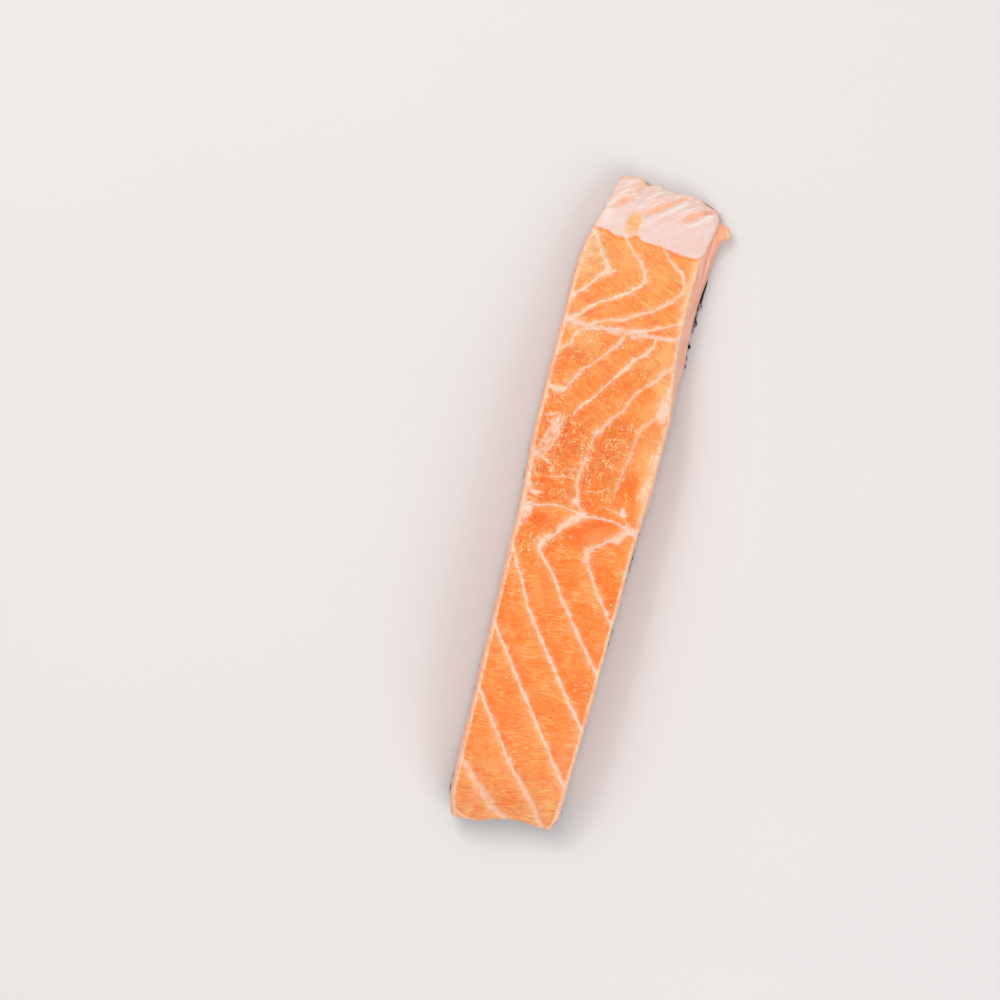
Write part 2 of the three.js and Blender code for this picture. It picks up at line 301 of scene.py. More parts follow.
@dataclass(frozen=True)
class Outline:
    """The outer form of the whole portion, as its solids have it."""

    back_tip: float = -96.2
    belly_tip: float = 96.2
    skin_thickness: float = 0.9
    layer_gap: float = 0.3
    edge_round: float = 1.3
    crown: float = 0.7
    tilt_to_right: float = 0.5
    unevenness: float = 0.25
    flank_swell: float = 0.35
    margin_wave: float = 0.15
    end_fade: float = 22
    crowding: float = 0.3
    left_edge: Profile = Profile(
        ((-96, -14.8), (-89, -16.5), (-60, -17.2), (-20, -18.1), (0, -18.6), (12, -19.5), (25, -19.9),
         (52, -19.8), (60, -20.0), (68, -19.9), (75, -19.1), (80, -17.9), (85, -16.4), (90, -15.1),
         (96, -14.1))
    )
    right_edge: Profile = Profile(
        ((-96, 15.2), (-60, 16.1), (-15, 16.8), (0, 17.0), (10, 17.6), (27, 17.7), (34, 17.2),
         (40, 16.3), (46, 15.4), (54, 14.9), (72, 14.8), (80, 15.4), (86, 16.3), (90, 17.0), (96, 17.2))
    )
    left_slant: Profile = Profile(((-96, 0.6), (-70, 0.6), (0, 0.4), (96, 0.3)))
    right_slant: Profile = Profile(
        ((-96, 0.4), (-20, 0.4), (0, 0.7), (24, 0.8), (38, 1.4), (46, 2.9), (54, 2.8), (65, 2.9),
         (75, 3.5), (84, 3.2), (91, 1.0), (96, 0.6))
    )
    left_margin: Profile = Profile(((-96, 0.3), (-60, 0.1), (96, 0.0)))
    right_margin: Profile = Profile(
        ((-96, 0.3), (-30, 0.3), (0, 0.4), (20, 0.2), (50, 0.25), (60, 0.6), (67, 0.6), (74, 0.15),
         (96, 0.2))
    )
    upper_face: Profile = Profile(
        ((-96.2, 8.5), (-92, 12.5), (-86, 16.3), (-76, 20.2), (-62, 22.8), (-45, 23.8), (-25, 23.4),
         (-4, 22.0), (10, 20.8), (30, 18.4), (51, 15.6), (66, 13.0), (78, 10.9), (86, 9.6), (92, 7.6),
         (96.2, 4.6))
    )
    skin_lift: Profile = Profile(
        ((-96.2, 5.4), (-92, 3.4), (-86, 1.5), (-79, 0.3), (-72, 0), (96.2, 0))
    )
    belly_end_line: Profile = Profile(
        ((-1, 0.1), (-0.88, 0.3), (-0.77, 0.5), (-0.68, 0.4), (-0.6, -0.5), (-0.53, -1.2),
         (-0.46, -1.0), (-0.36, -0.4), (-0.24, -0.3), (-0.11, -0.9), (0.02, -0.95), (0.12, -1.3),
         (0.22, -1.3), (0.34, -0.9), (0.44, -0.7), (0.55, -1.0), (0.64, -1.0), (0.74, -1.5),
         (0.84, -2.4), (0.93, -2.6), (1, -3.0))
    )
    back_end_line: Profile = Profile(
        ((-1, -1.0), (-0.75, -0.7), (-0.5, -0.3), (-0.3, 0.9), (-0.05, 1.6), (0.2, 2.3), (0.5, 2.5),
         (1, 2.0))
    )
    belly_left: Corner = Corner(3, 3.5)
    belly_right: Corner = Corner(3.5, 4)
    back_left: Corner = Corner(2, 3)
    back_right: Corner = Corner(3, 5)
    tag: Profile = Profile(
        ((80, 0.1), (82.5, 0.4), (84, 0.7), (85.7, 1.3), (87.2, 2.0), (88.2, 3.5), (89.2, 3.8),
         (90.2, 3.6), (91.4, 3.0), (92, 2.8), (92.5, 0.9), (93.2, 0.2), (94, 0.0))
    )

    def uneven(self, a: Array, b: Array) -> Array:
        """Return the slow unevenness of soft flesh, between about -1 and 1."""
        broad = np.sin(a * 0.21 + 1.7 * np.sin(b * 0.13))
        return 0.6 * broad + 0.4 * np.sin(b * 0.33 + a * 0.08)

    def limits(self, y: Array) -> tuple[Array, Array]:
        """Find the limits of the upper face.

        Args:
            y: Places along.

        Returns:
            The limits across, left and right.
        """
        to_belly, to_back = self.belly_tip - y, y - self.back_tip
        left_inset = self.belly_left.inset(to_belly) + self.back_left.inset(to_back)
        right_inset = self.belly_right.inset(to_belly) + self.back_right.inset(to_back)
        return self.left_edge.at(y) + left_inset, self.right_edge.at(y) - right_inset

    def end_shift(self, y: Array, across: Array) -> Array:
        """Find how far places move along, so that the ends follow their lines.

        Args:
            y: Places along.
            across: Places across, from -1 at the left to 1 at the right.

        Returns:
            What y gains.
        """
        at_belly = smoothstep(y, self.belly_tip - self.end_fade, self.belly_tip)
        at_back = 1 - smoothstep(y, self.back_tip, self.back_tip + self.end_fade)
        return self.belly_end_line.at(across) * at_belly + self.back_end_line.at(across) * at_back

    def underside(self, y: Array) -> Array:
        """Return the height of the skin's underside at y."""
        return np.maximum(self.skin_lift.at(y), 0)

    def stations(self, spacing: float, nose: float) -> Array:
        """Return places along y, a little closer together at the ends.

        Args:
            spacing: Mean distance between places.
            nose: Length that is left out at each tip.

        Returns:
            The places, from the back to the belly.
        """
        length = self.belly_tip - self.back_tip - 2 * nose
        t = np.linspace(0, 1, int(length / spacing) + 1)
        crowded = t - self.crowding * np.sin(2 * np.pi * t) / (2 * np.pi)
        return self.back_tip + nose + length * crowded


@dataclass(frozen=True)
class Seam:
    """A pale seam that runs across the portion between two zones of muscle."""

    line: Profile
    half_width: Profile

    def distance(self, x: Array, y: Array) -> Array:
        """Return the distance along y from the seam, above zero towards the belly."""
        return y - self.line.at(x)


@dataclass(frozen=True)
class Arcs:
    """Nested septa that point along x at one y and run back from there on both sides."""

    apex_y: float
    at_apex: float
    spread: float
    belly_bend: float
    back_bend: float
    blunt: float = 1.8

    def count(self, y: Array) -> Array:
        """Count the septa that have been passed on the middle line.

        Args:
            y: Places along.

        Returns:
            The counts, whole at each septum.
        """
        away = y - self.apex_y
        rounded = np.hypot(away, self.blunt) - 0.4 * self.blunt
        bend = np.where(away > 0, self.belly_bend, self.back_bend)
        return self.at_apex + self.spread * rounded + bend * away * away


@dataclass(frozen=True)
class Muscle:
    """The muscle blocks: three zones parted by two seams, each crossed by pale septa.

    From the belly end to a little past the back seam the septa are drawn one by one. Further back,
    and on the flanks, they follow from a count that goes up by one at each septum.
    """

    middle: float = 1.2
    belly_seam: Seam = Seam(
        Profile(
            ((-20, 51.2), (-16.5, 50.7), (-12, 50.6), (-6, 51.2), (-1, 51.6), (3, 52.3), (7, 52.0),
             (10, 52.5), (15, 53.3))
        ),
        Profile(
            ((-19.5, 0.7), (-17.5, 1.0), (-14, 0.5), (-9, 0.5), (-5, 0.65), (-1, 0.55), (2.4, 1.1),
             (5, 0.45), (9, 0.4), (15, 0.55))
        ),
    )
    back_seam: Seam = Seam(
        Profile(
            ((-18, -4.6), (-15, -3.5), (-12, -2.8), (-8, -1.95), (-4, -2.2), (0, -3.0), (4, -2.9),
             (8, -2.5), (11, -3.0), (14, -3.8), (17, -4.6))
        ),
        Profile(
            ((-17, 1.2), (-15, 0.8), (-13, 0.35), (-9, 0.28), (-6, 0.16), (-3, 0.2), (0, 0.55),
             (3, 0.42), (7, 0.28), (11, 0.3), (14, 0.45), (17, 0.4))
        ),
    )
    belly_arcs: Arcs = Arcs(67.6, -0.03, 0.065, 0.0015, 0.0039)
    back_arcs: Arcs = Arcs(-14.4, 4.92, -0.067, 0, 0.00013)
    middle_sweep: Profile = Profile(
        ((-2.5, 4.1), (1.4, 4.36), (9.4, 4.44), (19.6, 4.32), (30.3, 3.75), (42, 2.92), (47.4, 2.4),
         (51.4, 2.3))
    )
    pitch: Profile = Profile(
        ((-92, 15.6), (-60, 14), (-24, 12.6), (-13, 13.2), (-5, 15.2), (2, 11.5), (20, 11), (32, 9.5),
         (45, 9.9), (60, 11.6), (96, 11))
    )
    nudges: tuple[Patch, ...] = patches(
        (-12, 72, 6, 8, 2.3), (6, 35, 8, 6, -1.7, 40), (-14, -24, 5, 8, 2.4), (-4.5, -22, 4, 6, 0.6),
        (7, -19, 4, 5, 0.9), (1, -95.5, 7, 3.6, 4.5), (0, -92, 20, 9, 1.2), (-4, -89, 9, 8, 2.0),
        (7, -88, 5, 5, 0.7),
    )
    drawn_above: float = -19.0
    drawn_slope: float = 0.25
    septa: tuple[Septum, ...] = (
        Septum(((-18.2, 79.4, 0.45), (-16.4, 76.8, 0.5), (-14.6, 73.8, 0.6), (-13, 71.3, 0.6),
            (-11.6, 69.2, 0.7), (-10.2, 67.9, 0.9), (-11.6, 66.7, 0.7), (-13.6, 64.6, 0.5),
            (-16, 61.2, 0.42), (-18.2, 59, 0.5), (-19.9, 57.4, 0.7)), 1.05),
        Septum(((-10.4, 67.9, 0.8), (-9.2, 68.2, 0.6), (-8, 68.3, 0.2)), 0.7),
        Septum(((-8.4, 79.0, 0.3), (-7, 77.2, 0.35), (-5, 75.2, 0.45), (-3, 73.5, 0.5),
            (-1.4, 71.6, 0.55), (-0.3, 69.6, 0.6), (0.4, 67.8, 0.65), (0.2, 66.5, 0.6),
            (-1.4, 64.9, 0.5), (-3.6, 62.9, 0.5), (-5.6, 61.8, 0.5), (-7.6, 60, 0.45),
            (-11.2, 58.1, 0.42), (-13.4, 55.9, 0.42), (-15.2, 53.8, 0.45), (-16.8, 52.3, 0.5),
            (-18, 51.4, 0.5)), 0.98),
        Septum(((3.2, 78.6, 0.2), (4.4, 77, 0.3), (6, 75.3, 0.35), (8.2, 73.8, 0.4), (10.2, 72.4, 0.45),
            (11.3, 70.6, 0.45), (11.9, 68.7, 0.45), (11.9, 67, 0.45), (11, 65.2, 0.45),
            (9.6, 63.7, 0.45), (7.4, 61.9, 0.45), (5.4, 60, 0.45), (3, 58.3, 0.45), (0.4, 57.2, 0.42),
            (-2.4, 55.3, 0.4), (-4.4, 54.4, 0.4), (-7.6, 53.6, 0.45), (-10.4, 52.3, 0.45),
            (-13.2, 50.9, 0.5), (-16.4, 50.6, 0.5)), 0.85),
        Septum(((15.4, 59.4, 0.55), (13.2, 57.8, 0.5), (10.2, 56.4, 0.42), (7, 54.8, 0.38),
            (4.8, 53.6, 0.38), (2.6, 52.9, 0.5), (0.8, 52.3, 0.5)), 0.85),
        Septum(((-9.6, 50.6, 0.3), (-12, 49.9, 0.45), (-14.4, 48.7, 0.45), (-15.4, 46.8, 0.45),
            (-15.9, 44.8, 0.5), (-17.2, 43.5, 0.5), (-18.4, 42.3, 0.45), (-20, 40, 0.4)), 0.75),
        Septum(((-0.9, 51.2, 0.35), (-2, 49, 0.5), (-3, 46.8, 0.5), (-4.8, 44.6, 0.4),
            (-6.8, 42.4, 0.35), (-8.8, 40, 0.4), (-10.2, 38.5, 0.35), (-11.6, 36.5, 0.35),
            (-12.6, 34.3, 0.4), (-13.6, 32.4, 0.45), (-15, 31.1, 0.6), (-16.6, 30.5, 0.9),
            (-18.6, 31, 0.7), (-20, 31.6, 0.4)), 0.85),
        Septum(((7.2, 52, 0.35), (7.9, 50.2, 0.45), (6.9, 48, 0.55), (5.8, 46.4, 0.45),
            (3.3, 44.5, 0.65), (1.8, 42.4, 0.45), (0.7, 40.4, 0.35), (-0.8, 38.3, 0.28),
            (-2.4, 35.6, 0.28), (-3.8, 33.5, 0.3), (-5.3, 31.2, 0.35), (-6.6, 29.5, 0.38),
            (-8.3, 27.8, 0.42), (-9.3, 26.2, 0.3), (-10, 24.6, 0.12)), 0.93),
        Septum(((15.9, 46, 0.7), (14, 44.2, 0.9), (12.4, 42.6, 0.95), (11.2, 40.6, 0.6),
            (9.4, 38.8, 0.5), (7.2, 36.3, 0.45), (5.6, 34, 0.38), (4.4, 31.8, 0.36), (3.7, 29.5, 0.36),
            (2.4, 27.7, 0.36), (1, 26.2, 0.38), (0, 24.2, 0.45), (-0.9, 22.7, 0.5), (-2.2, 21.3, 0.5),
            (-2.7, 19.2, 0.35), (-2.9, 17, 0.25), (-3.2, 14.5, 0.3), (-3.7, 12.2, 0.5),
            (-3.9, 9.2, 0.5), (-3.8, 6.6, 0.4), (-3.8, 4.6, 0.5), (-3.1, 2.6, 0.4), (-3.2, 0.6, 1.0),
            (-1.6, -0.8, 0.5), (-0.5, -2.4, 0.4)), 0.74),
        Septum(((18, 34, 0.8), (15.4, 31.8, 1.1), (13.6, 30, 0.6), (12.4, 28.4, 0.5), (11, 26.6, 0.55),
            (10, 24.6, 0.5), (9.3, 21.5, 0.5), (8.9, 18, 0.5), (8.4, 14.5, 0.5), (7.9, 11.4, 0.5),
            (7.6, 8.2, 0.45), (7.4, 5, 0.15)), 0.5),
        Septum(((-12.4, 5.4, 0.15), (-10.6, 5.7, 0.28), (-9, 6.2, 0.28), (-7.4, 6.7, 0.25),
            (-5.6, 6.5, 0.22), (-4.3, 5.9, 0.15)), 0.8),
        Septum(((-8.2, 8.8, 0.12), (-6.4, 9.1, 0.22), (-4.6, 9.3, 0.15)), 0.45),
        Septum(((-1.6, 3.9, 0.12), (1.2, 4.5, 0.2), (3.4, 5, 0.2), (5, 6.4, 0.1)), 0.5),
        Septum(((-19, 12.2, 0.7), (-17, 11.1, 0.6), (-15, 10.1, 0.5), (-13.3, 9.3, 0.2)), 0.7),
        Septum(((-12.5, 24.2, 0.15), (-12.6, 21.4, 0.35), (-12.9, 18.4, 0.25), (-13.4, 16.2, 0.4),
            (-14.2, 13.8, 0.25), (-15.4, 11.8, 0.12)), 0.8),
        Septum(((-13.8, 23.4, 0.12), (-14.1, 20.6, 0.3), (-14.6, 18, 0.12)), 0.6),
        Septum(((-16.6, 23.0, 0.3), (-15.2, 23.7, 0.3)), 0.7),
        Septum(((-15.6, 19.6, 0.12), (-15.9, 17.6, 0.35), (-16.6, 15.4, 0.3),
            (-17.2, 13.6, 0.15)), 0.7),
        Septum(((-17.8, 9.6, 0.2), (-17.6, 7.8, 0.4), (-18.0, 5.6, 0.3), (-17.8, 3.4, 0.45),
            (-18.1, 1.0, 0.3), (-18.0, -1.6, 0.4)), 0.8),
        Septum(((6.2, 0.6, 0.12), (9, 0.2, 0.25), (11.4, -0.6, 0.3), (13, -2.4, 0.25),
            (14, -3.8, 0.2)), 0.6),
        Septum(((15.9, 11.4, 0.4), (15, 8.6, 0.8), (14.4, 6.4, 0.5), (14, 4.8, 0.2)), 0.5),
        Septum(((16.2, 20.4, 0.2), (16.5, 18.4, 0.45), (16.4, 16.2, 0.2)), 0.7),
        Septum(((15, 18.8, 0.15), (15, 16.8, 0.3), (15, 15.4, 0.12)), 0.8),
        Septum(((0.2, -2.8, 0.6), (-1.6, -4.2, 1.1), (-3, -5.3, 1.3), (-4.4, -7, 1.0),
            (-5.6, -8.6, 0.75), (-6.3, -10.2, 0.6), (-8, -11.5, 0.8), (-9.4, -12.9, 1.0),
            (-10.1, -14.4, 0.85), (-9.4, -16, 0.7), (-8.2, -17.4, 0.55), (-6.8, -19, 0.5),
            (-5.2, -20.6, 0.45), (-4, -22.4, 0.45)), 0.86),
        Septum(((15.8, -3.9, 0.7), (13.6, -4.7, 1.1), (12.2, -6, 1.1), (10.9, -7.2, 1.2),
            (9.4, -8.2, 0.75), (7.6, -9.6, 0.6), (6, -10.8, 0.6), (4.8, -11.8, 0.75), (3.9, -13, 0.9),
            (3.8, -14.4, 0.85), (4.6, -15.8, 0.65), (5.6, -17.4, 0.5), (6.8, -19.4, 0.42)), 0.78),
        Septum(((-17.8, -15.4, 0.3), (-16.8, -17.6, 0.4), (-16, -19.5, 0.4), (-15, -21.4, 0.42),
            (-14, -22.9, 0.42), (-13, -24.8, 0.4)), 0.9),
        Septum(((-16.1, -90.6, 0.3), (-15.7, -92.6, 0.5), (-14.8, -94.6, 0.6), (-13.2, -96.0, 0.6),
            (-10.6, -96.8, 0.5), (-7.4, -96.9, 0.3)), 0.9),
    )
    flank_pitch: float = 4.4
    fibre_angles: tuple[float, float, float] = (-20.0, -40.0, 8.0)
    fibre_bend: float = 1.2
    bend_size: float = 14
    seam_wave: float = 0.35
    septum_wave: float = 0.22

    def seams(self, x: Array, y: Array) -> tuple[Array, Array]:
        """Return the distances from the belly seam and from the back seam, a little wavy."""
        wave = self.seam_wave * Grain(5).rough(x / 2.4, y / 12, 2)
        return self.belly_seam.distance(x, y) + wave, self.back_seam.distance(x, y) + 0.4 * wave

    def nearest_seam(self, x: Array, y: Array) -> tuple[Array, Array]:
        """Find the nearest seam.

        Args:
            x: Places across.
            y: Places along.

        Returns:
            The distance from it, below zero towards the back, and its half width.
        """
        to_belly, to_back = self.seams(x, y)
        belly = np.abs(to_belly) < np.abs(to_back)
        width = np.where(belly, self.belly_seam.half_width.at(x), self.back_seam.half_width.at(x))
        return np.where(belly, to_belly, to_back), width

    def zones(self, x: Array, y: Array) -> tuple[Array, Array]:
        """Return where the belly zone is, and where the back zone is, as true or false."""
        to_belly, to_back = self.seams(x, y)
        return to_belly > 0, to_back <= 0

    def count(self, x: Array, y: Array) -> Array:
        """Count the septa that have been passed.

        Args:
            x: Places across.
            y: Places along.

        Returns:
            The counts, whole at each septum.
        """
        in_belly, in_back = self.zones(x, y)
        middle = self.middle_sweep.at(y)
        middle = np.where(in_belly, self.belly_arcs.count(y), middle)
        middle = np.where(in_back, self.back_arcs.count(y), middle)
        return middle + (x - self.middle - total(self.nudges, x, y)) / self.pitch.at(y)

    def steepness(self, x: Array, y: Array) -> Array:
        """Find how close together the septa lie.

        Args:
            x: Places across.
            y: Places along.

        Returns:
            How many are crossed in a millimetre, at the steepest.
        """
        step = 0.1
        here = self.count(x, y)
        rise = (self.count(x, y + step) - here) / step
        return np.hypot(1 / self.pitch.at(y), np.clip(rise, -0.5, 0.5))

    def drawn(self, x: Array, y: Array) -> tuple[Array, Array, Array]:
        """Find the nearest drawn septum.

        Args:
            x: Places across.
            y: Places along.

        Returns:
            The distance from it, below zero on one side, its half width and its strength.
        """
        wave = self.septum_wave * Grain(9).rough(x / 1.8, y / 1.8, 2)
        best = np.full(x.shape, np.inf)
        offset, width, strength = np.full(x.shape, 9.0), np.full(x.shape, 0.4), np.zeros(x.shape)
        for septum in self.septa:
            away, wide = septum.draw(x + wave, y - wave)
            ratio = np.abs(away) / wide
            closer = (ratio < best) & (np.abs(away) < septum.reach)
            best = np.where(closer, ratio, best)
            offset, width = np.where(closer, away, offset), np.where(closer, wide, width)
            strength = np.where(closer, septum.strength, strength)
        return offset, width, strength

    def is_drawn(self, x: Array, y: Array) -> Array:
        """Return where the septa are drawn one by one, as true or false."""
        return y > self.drawn_above + self.drawn_slope * x

    def fibre(self, x: Array, y: Array) -> tuple[Array, Array]:
        """Turn places into coordinates that follow the muscle fibres.

        Args:
            x: Places across.
            y: Places along.

        Returns:
            Coordinates across and along the fibres, in millimetres.
        """
        in_belly, in_back = self.zones(x, y)
        belly, middle, back = self.fibre_angles
        angle = np.radians(np.where(in_belly, belly, np.where(in_back, back, middle)))
        bent = self.fibre_bend * Grain(8).at(x / self.bend_size, y / self.bend_size)
        across = -x * np.sin(angle) + y * np.cos(angle) + bent
        return across, x * np.cos(angle) + y * np.sin(angle)


@dataclass(frozen=True)
class Lining:
    """The pale lining that is left on the belly end, with a hole and folds."""

    thickness: float = 0.45
    lip: float = 0.1
    wrinkle: float = 0.16
    upper_part: tuple[float, float] = (81, 89)
    ridge_height: float = 0.7
    fold_depth: float = 0.6
    stain_depth: float = 0.3
    fold_angle: float = 36.5
    fold_bend: float = 0.012
    fold_wave: float = 0.3
    edge_fray: float = 0.22
    edge: Profile = Profile(
        ((-18.6, 80.2), (-17, 79.5), (-15, 79.6), (-13, 79.1), (-11.5, 78.4), (-9, 78.4), (-7.2, 78.5),
         (-6, 79.6), (-5, 79.9), (-3.8, 79.0), (-1, 78.6), (3, 78.5), (6, 77.9), (9, 77.5), (12, 77.4),
         (13.8, 77.9), (14.9, 78.9), (15.7, 80.6))
    )
    stain_x: float = -6.9
    stain_y: float = 83.0
    stain_across: float = 2.2
    stain_along: float = 3.35
    folds: tuple[Patch, ...] = patches(
        (-11.6, 88.8, 2.6, 1.1, 0.75, 38), (-9.0, 90.6, 3.0, 0.7, 0.55, 32),
        (-13.6, 86.8, 1.4, 0.8, 0.4, 40), (-9.4, 92.2, 3.4, 0.4, 0.5, 26),
        (-3.6, 87.0, 1.8, 1.4, 0.65, 45), (-0.9, 88.9, 2.6, 1.15, 0.75, 40),
        (2.0, 91.4, 2.6, 0.75, 0.8, 40), (5.4, 93.9, 3.2, 0.6, 0.7, 36),
        (-3.2, 89.4, 3.6, 0.5, 0.5, 40), (1.0, 92.6, 3.2, 0.45, 0.55, 36),
        (-5.0, 91.4, 3.4, 0.35, 0.4, 36), (-0.4, 94.2, 3.4, 0.4, 0.45, 32),
        (-3.8, 93.6, 2.6, 0.35, 0.5, 38), (-3.4, 95.3, 1.6, 0.35, 0.45, 38),
        (6.4, 86.4, 2.0, 1.1, 0.45, 44), (8.8, 88.9, 2.2, 1.35, 0.85, 40),
        (11.4, 90.9, 2.8, 0.95, 0.85, 34), (14.0, 92.2, 1.8, 0.6, 0.7, 16),
        (8.2, 92.4, 3.4, 0.35, 0.4, 34), (4.6, 88.6, 2.4, 0.4, 0.25, 37),
        (-14.4, 84.6, 2.6, 0.4, 0.15, 50), (3.4, 86.4, 3.4, 0.5, 0.2, 37),
    )
    ridges: tuple[Patch, ...] = patches(
        (-10.6, 94.9, 3.4, 0.7, 0.35, 20), (-12.2, 91.0, 2.4, 0.45, 0.35, 40),
        (-7.6, 90.9, 2.4, 0.35, 0.3, 32), (1.2, 88.0, 5.6, 0.45, 0.45, 42),
        (6.0, 91.6, 2.6, 0.4, 0.4, 38), (12.0, 88.5, 4.6, 0.5, 0.5, 40),
        (14.6, 90.8, 2.0, 0.5, 0.4, 24), (-1.8, 90.3, 3.6, 0.35, 0.4, 40),
        (3.6, 94.0, 2.4, 0.32, 0.35, 36), (-3.4, 92.4, 3.0, 0.35, 0.35, 38),
        (-1.4, 93.6, 3.0, 0.3, 0.3, 36), (8.4, 91.2, 2.6, 0.34, 0.35, 36),
        (5.6, 87.6, 2.8, 0.4, 0.3, 42), (-8.9, 79.9, 2.2, 0.4, 0.3, 125),
        (7.8, 95.0, 1.6, 0.3, 0.3, 46), (-6.0, 88.4, 3.0, 0.4, 0.25, 36),
    )
    tints: tuple[Patch, ...] = patches(
        (-11.2, 96.0, 4.0, 0.8, 0.8, 14), (-7.1, 95.2, 1.6, 1.4, 0.9), (-9.6, 93.4, 3.0, 1.0, 0.4, 20),
        (-6.5, 87.0, 1.8, 0.8, 0.45, 10), (9.2, 94.7, 2.4, 0.8, 0.5, -8),
        (13.6, 93.0, 2.6, 0.6, 0.6, -14), (0.5, 90.2, 6.5, 2.2, 0.35, 38),
        (9.8, 89.8, 3.4, 1.3, 0.6, 38), (-11.4, 89.0, 3.0, 1.2, 0.5, 36),
        (-16.6, 80.6, 1.6, 0.5, 0.6, -18), (-14.9, 94.0, 0.8, 1.6, 0.4), (16.6, 86.0, 0.6, 4.6, 0.35),
    )

    def turned(self, x: Array, y: Array) -> tuple[Array, Array]:
        """Return coordinates along and aside from the folds, which bend over towards +X."""
        cosine, sine = math.cos(math.radians(self.fold_angle)), math.sin(math.radians(self.fold_angle))
        return x * cosine + y * sine, y * cosine - x * sine + self.fold_bend * (x + 4) ** 2

    def inside(self, x: Array, y: Array) -> Array:
        """Return how far (x, y) is inside the lining, below zero outside it."""
        return y - self.edge.at(x) + self.edge_fray * Grain(21).rough(x / 2.4, y / 2.4)

    def stained(self, x: Array, y: Array) -> Array:
        """Find how much of the muscle shows through the lining's thin spot.

        Args:
            x: Places across.
            y: Places along.

        Returns:
            Shares from 0 to 1.
        """
        away_x = (x - self.stain_x - 0.1 * (y - self.stain_y)) / self.stain_across
        away_y = (y - self.stain_y) / self.stain_along
        return smoothstep(np.hypot(away_x, away_y) + 0.1 * Grain(23).rough(x / 1.2, y / 1.2), 1.4, 0.6)

    def valleys(self, x: Array, y: Array) -> Array:
        """Return the depth of the folds at (x, y), slightly wavy."""
        wave = self.fold_wave * Grain(24).at(x / 4, y / 4)
        return total(self.folds, x + wave, y - wave)

    def relief(self, x: Array, y: Array) -> Array:
        """Find the height that the lining adds, with its folds, ridges and fine wrinkles.

        Args:
            x: Places across.
            y: Places along.

        Returns:
            The heights, in millimetres.
        """
        along, aside = self.turned(x, y)
        covered = smoothstep(self.inside(x, y), -0.4, 0.5)
        lip = self.lip * bump(self.inside(x, y) - 0.8, 0.7)
        upper = smoothstep(y, *self.upper_part)
        wrinkles = self.wrinkle * Grain(22).rough(aside / 1.1, along / 8, 2) * (0.25 + 0.75 * upper)
        ridges = self.ridge_height * total(self.ridges, x, y)
        raised = self.thickness + lip + wrinkles + ridges - self.stain_depth * self.stained(x, y)
        return covered * (raised - self.fold_depth * self.valleys(x, y))


def in_scene(name: str, data: bpy.types.ID) -> bpy.types.Object:
    """Make an object and link it to the scene.

    Args:
        name: The object's name.
        data: Its mesh, light or camera.

    Returns:
        The object.
    """
    made = bpy.data.objects.new(name, data)
    bpy.context.scene.collection.objects.link(made)
    return made


